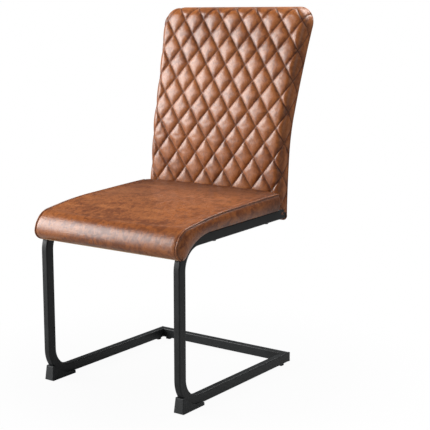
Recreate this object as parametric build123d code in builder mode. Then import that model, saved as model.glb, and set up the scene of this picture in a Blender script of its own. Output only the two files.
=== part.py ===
from build123d import *
import os
from math import asin, ceil, cos, degrees, hypot, radians, sin, tan

# Cantilever dining chair: two bent steel side tubes and a floor bar carry a padded seat,
# whose front falls over the front bends, and a quilted back.
# Millimetres. +Z is up and the sitter faces -Y, so the sitter's left is +X.
# The origin is on the floor, under the middle of the chair.

# Overall sizes
overall_height = 931.0
overall_depth = 580.0

# Steel frame
frame_width = 430.0
tube_depth = 25.0
tube_width = 18.0
tube_wall = 1.5
tube_corner = 3.0
floor_rear_setback = 82.0
floor_clearance = 5.0
foot_bend = 50.0
knee_bend = 52.0
seat_rail_height = 386.0
seat_rail_rise = 1.3
cross_bar_size = 20.0
front_cross_bar_gap = 37.0
rear_cross_bar_gap = 74.0

# Seat
lip_overhang = 18.0
lip_length = 12.1
lip_return = 18.0
lip_tuck = 24.0
nose_radius = 44.0
nose_drop = 12.5
front_slope = 9.0
front_blend = 900.0
boxing_height = 39.5
boxing_sweep_at = 118.0
seat_crown = 7.0
seat_margin = 5.0
seat_cover_thickness = 2.0
seat_board_thickness = 9.0
seat_back_gap = 1.0
dust_cover_thickness = 0.8
dust_cover_end_gap = 12.0

# Back: its heights are counted from the underside of the seat rail
back_bottom_drop = 6.3
back_bend_rise = 230.0
back_bend_radius = 600.0
back_lower_lean = 4.9
back_upper_lean = 15.4
back_margin = 2.5
back_waist_draw = 3.3
back_waist_rise = 214.0
back_top_flare = 18.4
back_top_corner = 45.0
back_bottom_corner = 10.0
back_edge_round = 14.0
back_side_wall = 3.0
back_foam_thickness = 7.8
back_board_thickness = 7.0
back_rear_thickness = 2.0
back_piping = 3.5
upright_depth = 16.0
upright_inset = 7.0
upright_top_gap = 40.0
back_bar_height = 18.0
back_lower_bar_rise = 54.0

# Quilting on the back
quilt_pitch_across = 62.0
quilt_pitch_along = 80.0
quilt_row_at = 8.0
quilt_depth = 6.0
cover_under_channel = 2.0
channel_half_width = 18.0
channel_step_width = 7.0
channel_step_depth = 2.2
channel_clear = 7.0

# Feet
glide_cheek = 3.0
glide_flare = 2.0
glide_setback = 4.5
glide_slant = 4.5
glide_height = 36.5
glide_length = 89.0
glide_lip = 7.0
glide_cover = 4.0
glide_edge = 2.0
glide_peg_radius = 2.5
glide_peg_length = 4.0
rear_glide_length = 14.0
rear_glide_width = 12.0
rear_glide_corner = 3.0
rear_glide_inset = 12.0

# Fasteners
bolt_radius = 3.0
bolt_head_radius = 6.0
bolt_head_height = 2.2
bolt_end_gap = 0.6
front_bolt_gap = 67.0
rear_bolt_gap = 44.0
tee_nut_radius = 4.0
tee_nut_flange_radius = 7.5
tee_nut_flange = 1.2
screw_radius = 2.0
screw_head_radius = 4.0
screw_head_angle = 82.0
screw_length = 11.0
screw_places = (-150.0, -75.0, 90.0, 200.0)

# Clearances, and the extra length that a later cut takes off
fit_gap = 0.3
bolt_gap = 0.3
trim_margin = 25.0

# Depths behind the front of the back, from layer to layer
back_cover_wall = quilt_depth + cover_under_channel
depth_foam = back_cover_wall + fit_gap
depth_foam_rear = depth_foam + back_foam_thickness
depth_board = depth_foam_rear + fit_gap
depth_board_rear = depth_board + back_board_thickness
depth_upright = depth_board_rear + fit_gap
depth_upright_rear = depth_upright + upright_depth
depth_rear_cover = depth_upright_rear + fit_gap
back_thickness = depth_rear_cover + back_rear_thickness
depth_piping = back_thickness - back_piping

# Angles in radians
rise = radians(seat_rail_rise)
tuck = radians(lip_tuck)
lean_low = radians(back_lower_lean)
lean_high = radians(back_upper_lean)
lean_mid = (lean_low + lean_high) / 2
lean_half = (lean_high - lean_low) / 2

# Places worked out from the sizes
frame_half = frame_width / 2
tube_x = frame_half - tube_width / 2
leg_front = lip_overhang - overall_depth / 2
floor_rear = overall_depth / 2 - floor_rear_setback
knee_end = knee_bend + tube_depth
seat_half = frame_half + seat_margin
seat_welt = seat_margin - 2 * fit_gap
nose_height = seat_rail_height + tube_depth / cos(rise) + boxing_height - nose_drop - nose_radius
lip_height = nose_height - nose_radius * sin(tuck) - lip_length
back_bend_height = seat_rail_height + back_bend_rise
back_waist_height = seat_rail_height + back_waist_rise
back_lower_bar_height = seat_rail_height + back_lower_bar_rise
back_bottom_half = frame_half + back_margin
back_waist_half = back_bottom_half - back_waist_draw
back_top_half = back_bottom_half + back_top_flare
back_top_y = overall_depth / 2 - back_thickness / cos(lean_high)
back_bend_y = back_top_y - (overall_height - back_bend_height) * tan(lean_high)
back_bottom_height = seat_rail_height + (back_bend_y - leg_front) * tan(rise) - back_bottom_drop
upright_x = frame_half - upright_inset - tube_width / 2
screw_head_height = (screw_head_radius - screw_radius) / tan(radians(screw_head_angle / 2))

sides = (("left", 1), ("right", -1))


def rail_under(y):
    """Height of the seat rail's underside."""
    return seat_rail_height + (y - leg_front) * tan(rise)


def rail_top(y):
    """Height of the seat rail's top face."""
    return rail_under(y) + tube_depth / cos(rise)


def rail_plane(x, behind_leg):
    """Plane on the seat rail's top face, at a distance behind the front of the leg."""
    y = leg_front + behind_leg
    return Plane(origin=(x, y, rail_top(y)), x_dir=(1, 0, 0), z_dir=(0, -sin(rise), cos(rise)))


def back_line(depth):
    """Foot, bend and head of the back's side line at a depth behind its front."""
    shift = depth / cos(lean_half)
    bend_y = back_bend_y + shift * cos(lean_mid)
    bend_z = back_bend_height - shift * sin(lean_mid)
    foot = (bend_y - bend_z * tan(lean_low), 0)
    rest = overall_height + trim_margin - bend_z
    head = (bend_y + rest * tan(lean_high), bend_z + rest)
    return foot, (bend_y, bend_z), head


def back_front(z, depth=0.0):
    """Distance along Y of the back at a height and a depth, without the rounding of its bend."""
    _, (bend_y, bend_z), _ = back_line(depth)
    return bend_y + (z - bend_z) * tan(lean_high if z > bend_z else lean_low)


def rail_meets_back(depth=0.0):
    """Distance along Y where the seat rail's top passes the back at a depth."""
    return back_front(rail_top(back_bend_y), depth)


def back_place(along, depth=0.0):
    """Point and lean of the back at a length along its front, counted from the bend."""
    arc_half = back_bend_radius * lean_half
    centre = back_bend_radius / cos(lean_half)
    lean = lean_mid + max(-arc_half, min(arc_half, along)) / back_bend_radius
    past = along - max(-arc_half, min(arc_half, along))
    reach = depth - back_bend_radius
    y = back_bend_y + centre * cos(lean_mid) + reach * cos(lean) + past * sin(lean)
    z = back_bend_height - centre * sin(lean_mid) - reach * sin(lean) + past * cos(lean)
    return y, z, lean


def back_plane(x, along, depth):
    """Plane across the back at a place on it, looking out to the front."""
    y, z, lean = back_place(along, depth)
    return Plane(origin=(x, y, z), x_dir=(1, 0, 0), z_dir=(0, -cos(lean), sin(lean)))


def back_layer(depth_front, depth_rear, inset):
    """A sheet of the back between two depths, with its outline drawn in by an inset."""
    with BuildPart() as layer:
        with BuildSketch(Plane.YZ):
            with BuildLine():
                front = FilletPolyline(*back_line(depth_front), radius=back_bend_radius - depth_front)
                rear = FilletPolyline(*back_line(depth_rear), radius=back_bend_radius - depth_rear)
                Line(front @ 0, rear @ 0)
                Line(front @ 1, rear @ 1)
            make_face()
        extrude(amount=2 * back_top_half, both=True)
        with BuildSketch(Plane.XZ) as outline:
            with BuildLine():
                bottom = back_bottom_height + inset
                top = overall_height - inset
                for side in (-1, 1):
                    ThreePointArc(
                        (side * (back_bottom_half - inset), bottom),
                        (side * (back_waist_half - inset), back_waist_height),
                        (side * (back_top_half - inset), top),
                    )
                Line((inset - back_bottom_half, bottom), (back_bottom_half - inset, bottom))
                Line((inset - back_top_half, top), (back_top_half - inset, top))
            make_face()
            fillet(outline.vertices().group_by(Axis.Y)[-1], back_top_corner - inset)
            fillet(outline.vertices().group_by(Axis.Y)[0], back_bottom_corner - inset)
        extrude(amount=overall_depth, both=True, mode=Mode.INTERSECT)
    return layer.part


def channel_planes(start, side):
    """Planes across one sewn channel, from the low end to the high end of its run."""
    climb = quilt_pitch_along / quilt_pitch_across
    arc_half = back_bend_radius * lean_half
    reach = back_top_half + channel_half_width
    ends = sorted(start + side * x * climb for x in (-reach, reach))
    low = max(ends[0], (back_bottom_height - back_bend_height) / cos(lean_low) - trim_margin)
    high = min(ends[1], (overall_height - back_bend_height) / cos(lean_high) + trim_margin)
    bends = (-arc_half, 0, arc_half)
    slant = hypot(1, climb)
    planes = []
    for along in [low] + [bend for bend in bends if low < bend < high] + [high]:
        y, z, lean = back_place(along)
        out = Vector(0, -cos(lean), sin(lean))
        run = Vector(side / slant, climb / slant * sin(lean), climb / slant * cos(lean))
        x = side * (along - start) / climb
        planes.append(Plane(origin=(x, y, z), x_dir=out.cross(run), z_dir=run))
    return planes


def channel_cutter(start, side):
    """The space that one sewn channel takes out of the padded cover."""
    with BuildPart() as cutter:
        for plane in channel_planes(start, side):
            with BuildSketch(plane):
                with BuildLine():
                    Polyline(
                        (-channel_half_width, channel_clear),
                        (-channel_half_width, 0),
                        (-channel_step_width, -channel_step_depth),
                        (0, -quilt_depth),
                        (channel_step_width, -channel_step_depth),
                        (channel_half_width, 0),
                        (channel_half_width, channel_clear),
                        close=True,
                    )
                make_face()
        loft(ruled=True)
    return cutter.part


def seat_top_line(skin, crown):
    """Draws the seat's upper line from lip to rear, a skin below its cover; gives its ends."""
    nose_y = leg_front - lip_overhang + nose_radius
    start = 180 + lip_tuck
    nose = CenterArc((nose_y, nose_height), nose_radius - skin, start, front_slope - lip_tuck - 90)
    drop = (nose @ 0).Y - lip_height - skin
    lip = Line(((nose @ 0).X + drop * tan(tuck), lip_height + skin), nose @ 0)
    slope = tan(radians(front_slope))
    level = boxing_height + crown - skin
    climb = rail_top((nose @ 1).X) + level - (nose @ 1).Y
    knee_y = (nose @ 1).X + climb / (slope - tan(rise))
    knee = (knee_y, rail_top(knee_y) + level)
    rear_y = back_front(knee[1], -seat_back_gap)
    rear = (rear_y, rail_top(rear_y) + level)
    top = FilletPolyline(nose @ 1, knee, rear, radius=front_blend)
    return lip @ 0, top @ 1


def board_line(off):
    """Draws the line a distance off the tubes that the seat board follows; gives its ends."""
    centre_y = leg_front + knee_end
    centre_z = rail_top(centre_y) - knee_end / cos(rise)
    low = asin((lip_height + seat_cover_thickness + fit_gap - centre_z) / (knee_end + off))
    turn = seat_rail_rise + degrees(low) - 90
    nose = CenterArc((centre_y, centre_z), knee_end + off, 180 - degrees(low), turn)
    rear_y = rail_meets_back(-seat_back_gap)
    rear = Line(nose @ 1, (rear_y, rail_top(rear_y) + off / cos(rise)))
    return nose @ 0, rear @ 1


def tube_path(x):
    """Centre line of one side tube: floor rail, leg and seat rail."""
    floor_z = floor_clearance + tube_depth / 2
    leg_y = leg_front + tube_depth / 2
    middle = tube_depth / 2 / cos(rise)
    end_y = back_front(back_bottom_height, depth_piping - fit_gap)
    with BuildLine(Plane.YZ.offset(x)) as path:
        FilletPolyline(
            (floor_rear, floor_z),
            (leg_y, floor_z),
            (leg_y, rail_under(leg_y) + middle),
            (end_y, rail_under(end_y) + middle),
            radius=[foot_bend + tube_depth / 2, knee_bend + tube_depth / 2],
        )
    return path.line


def tube_section(width, depth):
    """Draws the section of a tube: rounded outside, square inside."""
    RectangleRounded(width, depth, tube_corner)
    Rectangle(width - 2 * tube_wall, depth - 2 * tube_wall, mode=Mode.SUBTRACT)


def save(piece, name):
    """Names a finished piece and writes it."""
    piece.part.label = name
    export_step(piece.part, f"parts/{name}.step")


os.makedirs("parts", exist_ok=True)

seat_rear_y = rail_meets_back(-seat_back_gap)
seat_length = seat_rear_y - leg_front
bolt_rows = (knee_end + front_bolt_gap, seat_length - rear_bolt_gap)
bolt_places = [rail_plane(side * tube_x, row) for _, side in sides for row in bolt_rows]
front_peg_y = leg_front + glide_length - rear_glide_inset
rear_peg_y = floor_rear - tube_width - rear_glide_inset
bar_peg_x = frame_half - tube_width - rear_glide_inset
bar_peg_y = floor_rear - tube_width / 2
peg_hole = glide_peg_radius + bolt_gap

# Side tubes: one bent tube on each side, mitred at the rear for the floor bar
for name, side in sides:
    with BuildPart() as side_tube:
        path = tube_path(side * tube_x)
        with BuildSketch(Plane(origin=path @ 0, x_dir=(1, 0, 0), z_dir=path % 0)):
            tube_section(tube_width, tube_depth)
        sweep(path=path)
        with BuildSketch(Plane.XY):
            Polygon(
                (side * frame_half, floor_rear),
                (side * (frame_half - tube_width), floor_rear),
                (side * (frame_half - tube_width), floor_rear - tube_width),
                align=None,
            )
        extrude(amount=floor_clearance + 2 * tube_depth, mode=Mode.SUBTRACT)
        with Locations(*[place for place in bolt_places if place.origin.X * side > 0]):
            Cylinder(bolt_radius + bolt_gap, 3 * tube_depth, mode=Mode.SUBTRACT)
        peg_places = [(side * tube_x, peg_y, floor_clearance) for peg_y in (front_peg_y, rear_peg_y)]
        with Locations(*peg_places):
            Cylinder(peg_hole, 2 * glide_peg_length, mode=Mode.SUBTRACT)
    save(side_tube, f"{name}_side_tube")

# Floor bar across the rear, mitred into both side tubes
with BuildPart() as rear_floor_bar:
    bar_z = floor_clearance + tube_depth / 2
    with BuildSketch(Plane.YZ.offset(-frame_half)):
        with Locations((bar_peg_y, bar_z)):
            tube_section(tube_width, tube_depth)
    extrude(amount=frame_width)
    with BuildSketch(Plane.XY):
        for _, side in sides:
            Polygon(
                (side * frame_half, floor_rear),
                (side * frame_half, floor_rear - tube_width),
                (side * (frame_half - tube_width), floor_rear - tube_width),
                align=None,
            )
    extrude(amount=floor_clearance + 2 * tube_depth, mode=Mode.SUBTRACT)
    with Locations((bar_peg_x, bar_peg_y, floor_clearance), (-bar_peg_x, bar_peg_y, floor_clearance)):
        Cylinder(peg_hole, 2 * glide_peg_length, mode=Mode.SUBTRACT)
save(rear_floor_bar, "rear_floor_bar")

# Cross bars between the seat rails, just below the dust cover
cross_bar_rows = (("front", knee_end + front_cross_bar_gap), ("rear", seat_length - rear_cross_bar_gap))
for name, row in cross_bar_rows:
    with BuildPart() as cross_bar:
        seat = rail_plane(0, row)
        low = seat.origin - seat.z_dir * (dust_cover_thickness + fit_gap + cross_bar_size / 2)
        span = frame_width - 2 * tube_width
        with BuildSketch(Plane(origin=(-span / 2, low.Y, low.Z), x_dir=seat.y_dir, z_dir=(1, 0, 0))):
            tube_section(cross_bar_size, cross_bar_size)
        extrude(amount=span)
    save(cross_bar, f"{name}_cross_bar")

# Back uprights: lean and bend with the back, and stand on the rear ends of the seat rails
screw_planes = [
    back_plane(side * upright_x, along, depth_board) for _, side in sides for along in screw_places
]
upright_middle = (depth_upright + depth_upright_rear) / 2
for name, side in sides:
    with BuildPart() as upright:
        with BuildLine(Plane.YZ.offset(side * upright_x)) as line:
            FilletPolyline(*back_line(upright_middle), radius=back_bend_radius - upright_middle)
        path = line.line
        with BuildSketch(Plane(origin=path @ 0, x_dir=(1, 0, 0), z_dir=path % 0)):
            tube_section(tube_width, upright_depth)
        sweep(path=path)
        split(bisect_by=rail_plane(0, 0), keep=Keep.TOP)
        split(bisect_by=Plane.XY.offset(overall_height - upright_top_gap), keep=Keep.BOTTOM)
        with Locations(*[place for place in screw_planes if place.origin.X * side > 0]):
            Cylinder(screw_radius + bolt_gap, 2 * screw_length, mode=Mode.SUBTRACT)
    save(upright, f"{name}_back_upright")

# Bars between the back uprights
top_bar_along = (overall_height - upright_top_gap - back_bend_height) / cos(lean_high) - back_bar_height
lower_bar_along = (back_lower_bar_height - back_bend_height) / cos(lean_low)
back_bar_span = 2 * upright_x - tube_width
for name, along in (("top", top_bar_along), ("lower", lower_bar_along)):
    with BuildPart() as back_bar:
        place = back_plane(0, along, upright_middle)
        start = place.origin - place.x_dir * (back_bar_span / 2)
        with BuildSketch(Plane(origin=start, x_dir=place.z_dir, z_dir=place.x_dir)):
            tube_section(upright_depth, back_bar_height)
        extrude(amount=back_bar_span)
    save(back_bar, f"back_{name}_bar")

# Seat board: moulded ply that lies on the rails and bends down over the front of the tubes
with BuildPart() as seat_board:
    with BuildSketch(Plane.YZ.offset(-frame_half)):
        with BuildLine():
            under_low, under_rear = board_line(fit_gap)
            over_low, over_rear = board_line(fit_gap + seat_board_thickness)
            Line(under_low, over_low)
            Line(under_rear, over_rear)
        make_face()
    extrude(amount=frame_width)
    with Locations(*bolt_places):
        Cylinder(tee_nut_radius + bolt_gap, 3 * seat_board_thickness, mode=Mode.SUBTRACT)
    with Locations(*[place.offset(seat_board_thickness) for place in bolt_places]):
        Cylinder(tee_nut_flange_radius + bolt_gap, 2 * tee_nut_flange, mode=Mode.SUBTRACT)
save(seat_board, "seat_board")

# Tee nuts, let into the top of the seat board
with BuildPart() as seat_tee_nuts:
    nut_top = [place.offset(seat_board_thickness) for place in bolt_places]
    nut_low = (Align.CENTER, Align.CENTER, Align.MAX)
    with Locations(*nut_top):
        Cylinder(tee_nut_flange_radius, tee_nut_flange, align=nut_low)
        Cylinder(tee_nut_radius, seat_board_thickness - fit_gap, align=nut_low)
        Cylinder(bolt_radius + bolt_gap / 2, 2 * seat_board_thickness, mode=Mode.SUBTRACT)
save(seat_tee_nuts, "seat_tee_nuts")

# Bolts up through the seat rails into the tee nuts
with BuildPart() as seat_bolts:
    with Locations(*[place.offset(-tube_depth) for place in bolt_places]):
        shank = tube_depth + seat_board_thickness - bolt_end_gap
        Cylinder(bolt_radius, shank, align=(Align.CENTER, Align.CENTER, Align.MIN))
        Cylinder(bolt_head_radius, bolt_head_height, align=(Align.CENTER, Align.CENTER, Align.MAX))
save(seat_bolts, "seat_bolts")

# Dust cover under the seat board, between the rails
dust_cover_front = knee_end + dust_cover_end_gap
dust_length = seat_length - dust_cover_end_gap - dust_cover_front
with BuildPart(rail_plane(0, dust_cover_front)) as seat_dust_cover:
    Box(
        frame_width - 2 * tube_width - 2 * fit_gap,
        dust_length,
        dust_cover_thickness,
        align=(Align.CENTER, Align.MIN, Align.MAX),
    )
save(seat_dust_cover, "seat_dust_cover")

# Seat foam: crowned in the middle, between the board and the cover
seat_sections = ((-frame_half, 0), (0, seat_crown), (frame_half, 0))
with BuildPart() as seat_foam:
    for x, crown in seat_sections:
        with BuildSketch(Plane.YZ.offset(x)):
            with BuildLine():
                top_low, top_rear = seat_top_line(seat_cover_thickness + fit_gap, crown)
                board_low, board_rear = board_line(seat_board_thickness + 2 * fit_gap)
                Line(board_low, top_low)
                Line(board_rear, top_rear)
            make_face()
    loft()
save(seat_foam, "seat_foam")

# Seat top cover: one sheet over the crown and the waterfall front, hemmed under the lip
with BuildPart() as seat_top_cover:
    hem_end = leg_front - fit_gap
    for x, crown in seat_sections:
        with BuildSketch(Plane.YZ.offset(x)):
            with BuildLine():
                outer_low, outer_rear = seat_top_line(0, crown)
                inner_low, inner_rear = seat_top_line(seat_cover_thickness, crown)
                hem_top = (hem_end, lip_height + seat_cover_thickness)
                Polyline(outer_low, (hem_end, lip_height), hem_top, inner_low)
                Line(outer_rear, inner_rear)
            make_face()
    loft()
save(seat_top_cover, "seat_top_cover")

# Seat side panels: boxing that follows the rail and sweeps down over the front bend
for name, side in sides:
    with BuildPart() as side_panel:
        with BuildSketch(Plane.YZ.offset(side * (frame_half + fit_gap))):
            with BuildLine():
                top_low, top_rear = seat_top_line(seat_welt + fit_gap, 0)
                sweep_y = leg_front + boxing_sweep_at
                sweep_start = (sweep_y, rail_top(sweep_y))
                lip_rear = (leg_front + lip_return, lip_height)
                Polyline(top_rear, (seat_rear_y, rail_top(seat_rear_y)), sweep_start)
                TangentArc(sweep_start, lip_rear, tangent=(-cos(rise), -sin(rise)))
                lip_front = top_low.X + (top_low.Y - lip_height) * tan(tuck)
                Polyline(lip_rear, (lip_front, lip_height), top_low)
            make_face()
        extrude(amount=side * (seat_margin - fit_gap))
    save(side_panel, f"{name}_seat_side_panel")

# Seat welts: cord sewn into the edge between the top cover and each side panel
for name, side in sides:
    with BuildLine() as edge:
        seat_top_line(seat_welt / 2, 0)
    path = Plane.YZ.offset(side * (seat_half - seat_welt / 2)) * edge.line
    with BuildPart() as welt:
        with BuildSketch(Plane(origin=path @ 0, z_dir=path % 0)):
            Circle(seat_welt / 2)
        sweep(path=path)
    save(welt, f"{name}_seat_welt")

# Back board, notched for the seat rails, with countersunk screws into the uprights
rail_row = rail_meets_back() - leg_front
slot_tops = [rail_plane(side * tube_x, rail_row).offset(fit_gap) for _, side in sides]
slot_size = (tube_width + 2 * fit_gap, 2 * back_thickness, tube_depth + 2 * fit_gap)
notch_size = (tube_width + 2 * fit_gap, 2 * back_thickness, tube_depth + trim_margin)
slot_low = (Align.CENTER, Align.CENTER, Align.MAX)
board_sheet = back_layer(depth_board, depth_board_rear, back_side_wall + fit_gap)
with BuildPart() as back_board:
    add(board_sheet)
    with Locations(*screw_planes):
        CounterSinkHole(
            screw_radius + bolt_gap,
            screw_head_radius + bolt_gap,
            depth=screw_length,
            counter_sink_angle=screw_head_angle,
        )
    with Locations(*slot_tops):
        Box(*notch_size, align=slot_low, mode=Mode.SUBTRACT)
save(back_board, "back_board")

with BuildPart() as back_screws:
    with Locations(*screw_planes):
        Cylinder(screw_radius, screw_length, align=(Align.CENTER, Align.CENTER, Align.MAX))
        Cone(
            screw_radius,
            screw_head_radius,
            screw_head_height,
            align=(Align.CENTER, Align.CENTER, Align.MAX),
        )
save(back_screws, "back_screws")

# Back foam, and the wadding behind the board between the uprights and the bars
foam_sheet = back_layer(depth_foam, depth_foam_rear, back_side_wall + fit_gap)
with BuildPart() as back_foam:
    add(foam_sheet)
    with Locations(*slot_tops):
        Box(*notch_size, align=slot_low, mode=Mode.SUBTRACT)
save(back_foam, "back_foam")

wadding_sheet = back_layer(depth_upright, depth_upright_rear, back_side_wall + fit_gap)
with BuildPart() as back_wadding:
    add(wadding_sheet)
    bar_half = back_bar_height / 2
    low = back_place(lower_bar_along)[1] + bar_half / cos(lean_low) + upright_depth * sin(lean_low)
    high = back_place(top_bar_along)[1] - bar_half - back_thickness * sin(lean_high)
    with BuildSketch(Plane.XZ):
        with Locations((0, (low + high) / 2)):
            Rectangle(back_bar_span - 2 * fit_gap, high - low - 2 * fit_gap)
    extrude(amount=overall_depth, both=True, mode=Mode.INTERSECT)
save(back_wadding, "back_wadding")

# Back front cover: padded and sewn in diamonds, wrapped round the sides, top and bottom
cover_body = back_layer(0, depth_piping, 0)
cover_hollow = back_layer(back_cover_wall, back_thickness, back_side_wall)
low_along = (back_bottom_height - back_bend_height) / cos(lean_low)
high_along = (overall_height - back_bend_height) / cos(lean_high)
run_along = back_top_half * quilt_pitch_along / quilt_pitch_across
first_channel = ceil((low_along - run_along - quilt_row_at) / quilt_pitch_along)
last_channel = ceil((high_along + run_along - quilt_row_at) / quilt_pitch_along)
low_rim = back_bottom_height + back_bottom_corner
high_rim = overall_height - back_top_corner
channel_starts = [quilt_row_at + count * quilt_pitch_along for count in range(first_channel, last_channel)]
channels_up = [channel_cutter(start, 1) for start in channel_starts]
channels_down = [channel_cutter(start, -1) for start in channel_starts]
with BuildPart() as back_front_cover:
    add(cover_body)
    front_rim = [
        edge
        for edge in back_front_cover.edges()
        if edge.center().Y < back_front(edge.center().Z) + back_edge_round
        if abs(edge.center().X) > tube_width or not low_rim < edge.center().Z < high_rim
    ]
    fillet(front_rim, back_edge_round)
    add(cover_hollow, mode=Mode.SUBTRACT)
    with Locations(*slot_tops):
        Box(*slot_size, align=slot_low, mode=Mode.SUBTRACT)
    add(channels_up, mode=Mode.SUBTRACT)
    add(channels_down, mode=Mode.SUBTRACT)
save(back_front_cover, "back_front_cover")

# Back rear cover, inside the piping that closes the edge of the front cover
rear_sheet = back_layer(depth_rear_cover, back_thickness, back_piping + fit_gap)
with BuildPart() as back_rear_cover:
    add(rear_sheet)
save(back_rear_cover, "back_rear_cover")

piping_sheet = back_layer(depth_piping, back_thickness, 0)
piping_hollow = back_layer(depth_piping - fit_gap, back_thickness + fit_gap, back_piping)
with BuildPart() as back_piping_cord:
    add(piping_sheet)
    add(piping_hollow, mode=Mode.SUBTRACT)
save(back_piping_cord, "back_piping")

# Front glides: moulded wedges that cradle the lower front bends and stand on the floor
for name, side in sides:
    path = tube_path(side * tube_x)
    with BuildPart() as front_glide:
        foot_half = tube_width / 2 + glide_cheek + glide_flare
        bend = foot_bend + tube_depth
        cover = bend - glide_cover
        centre = (leg_front + bend, floor_clearance + bend)
        with BuildSketch(Plane.YZ.offset(side * tube_x)):
            with BuildLine():
                front_low = (leg_front + glide_setback, 0)
                front_top = (leg_front + glide_setback + glide_slant, glide_height)
                low = asin((centre[1] - glide_height) / cover)
                saddle = CenterArc(centre, cover, 180 + degrees(low), 90 - degrees(low))
                rear_top = (leg_front + glide_length, glide_lip)
                rear_low = (leg_front + glide_length, 0)
                Polyline(saddle @ 1, rear_top, rear_low, front_low, front_top, saddle @ 0)
            make_face()
        extrude(amount=foot_half, both=True)
        for way in (1, -1):
            edge_x = side * tube_x + way * foot_half
            wall = Plane(origin=(edge_x, 0, 0), x_dir=(0, 1, 0), z_dir=(way * glide_height, 0, glide_flare))
            split(bisect_by=wall, keep=Keep.BOTTOM)
        fillet(front_glide.faces().sort_by(Axis.Y)[0].edges(), glide_edge)
        with BuildSketch(Plane(origin=path @ 0, x_dir=(1, 0, 0), z_dir=path % 0)):
            RectangleRounded(tube_width + 2 * fit_gap, tube_depth + 2 * fit_gap, tube_corner + fit_gap)
        sweep(path=path, mode=Mode.SUBTRACT)
        with Locations((side * tube_x, front_peg_y, floor_clearance - fit_gap)):
            Cylinder(glide_peg_radius, glide_peg_length, align=(Align.CENTER, Align.CENTER, Align.MIN))
    save(front_glide, f"front_{name}_glide")

# Rear glides: pads with a peg in the tube, two under the rails and two under the floor bar
pad_places = []
for name, side in sides:
    pad_places.append((f"rear_{name}_glide", side * tube_x, rear_peg_y, 90))
    pad_places.append((f"floor_bar_{name}_glide", side * bar_peg_x, bar_peg_y, 0))
for name, x, y, turn in pad_places:
    with BuildPart() as pad:
        with BuildSketch(Location((x, y, 0), (0, 0, turn))):
            RectangleRounded(rear_glide_length, rear_glide_width, rear_glide_corner)
        extrude(amount=floor_clearance - fit_gap)
        with Locations((x, y, floor_clearance - fit_gap)):
            Cylinder(glide_peg_radius, glide_peg_length, align=(Align.CENTER, Align.CENTER, Align.MIN))
    save(pad, name)
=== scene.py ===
"""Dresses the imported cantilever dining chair: leather, powder-coated steel, feet and studio."""

import logging
import math
from collections.abc import Callable
from dataclasses import dataclass, field
from enum import Enum

import bpy
import numpy as np
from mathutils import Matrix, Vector


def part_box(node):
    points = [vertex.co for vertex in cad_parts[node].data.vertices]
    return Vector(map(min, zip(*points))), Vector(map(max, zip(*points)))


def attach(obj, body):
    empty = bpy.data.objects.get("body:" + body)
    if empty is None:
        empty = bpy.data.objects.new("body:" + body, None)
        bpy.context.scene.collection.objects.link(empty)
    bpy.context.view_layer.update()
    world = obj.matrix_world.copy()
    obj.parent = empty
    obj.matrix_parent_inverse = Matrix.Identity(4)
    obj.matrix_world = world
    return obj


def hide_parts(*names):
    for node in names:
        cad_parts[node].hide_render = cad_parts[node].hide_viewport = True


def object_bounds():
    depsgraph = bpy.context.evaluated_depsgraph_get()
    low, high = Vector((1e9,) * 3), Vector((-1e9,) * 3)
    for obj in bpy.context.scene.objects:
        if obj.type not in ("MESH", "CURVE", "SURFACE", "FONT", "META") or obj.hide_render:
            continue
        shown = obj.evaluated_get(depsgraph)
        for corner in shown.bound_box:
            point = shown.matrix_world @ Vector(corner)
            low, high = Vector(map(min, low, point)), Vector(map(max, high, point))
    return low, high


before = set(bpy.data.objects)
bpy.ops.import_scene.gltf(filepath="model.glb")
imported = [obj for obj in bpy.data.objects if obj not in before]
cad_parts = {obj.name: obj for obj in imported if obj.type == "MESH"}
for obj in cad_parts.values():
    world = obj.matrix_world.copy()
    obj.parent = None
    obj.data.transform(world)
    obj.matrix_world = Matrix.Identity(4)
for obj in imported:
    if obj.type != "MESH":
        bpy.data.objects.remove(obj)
cad_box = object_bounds()

log = logging.getLogger("dining_chair")
BODY = "root"
BORDER_SLACK = 0.3  # share of a cell by which a pattern's triangles may pass its border

Colour = tuple[float, float, float, float]


class Slot(Enum):
    """Names of material slots, one passed with each new piece."""

    STEEL = "frame_steel"
    COVER = "cover_leather"
    EDGE = "edge_leather"
    CLOTH = "dust_cloth"
    ZINC = "zinc_steel"


class Side(Enum):
    """Sitter's sides of the chair, as the sign of their X."""

    LEFT = 1
    RIGHT = -1


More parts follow.
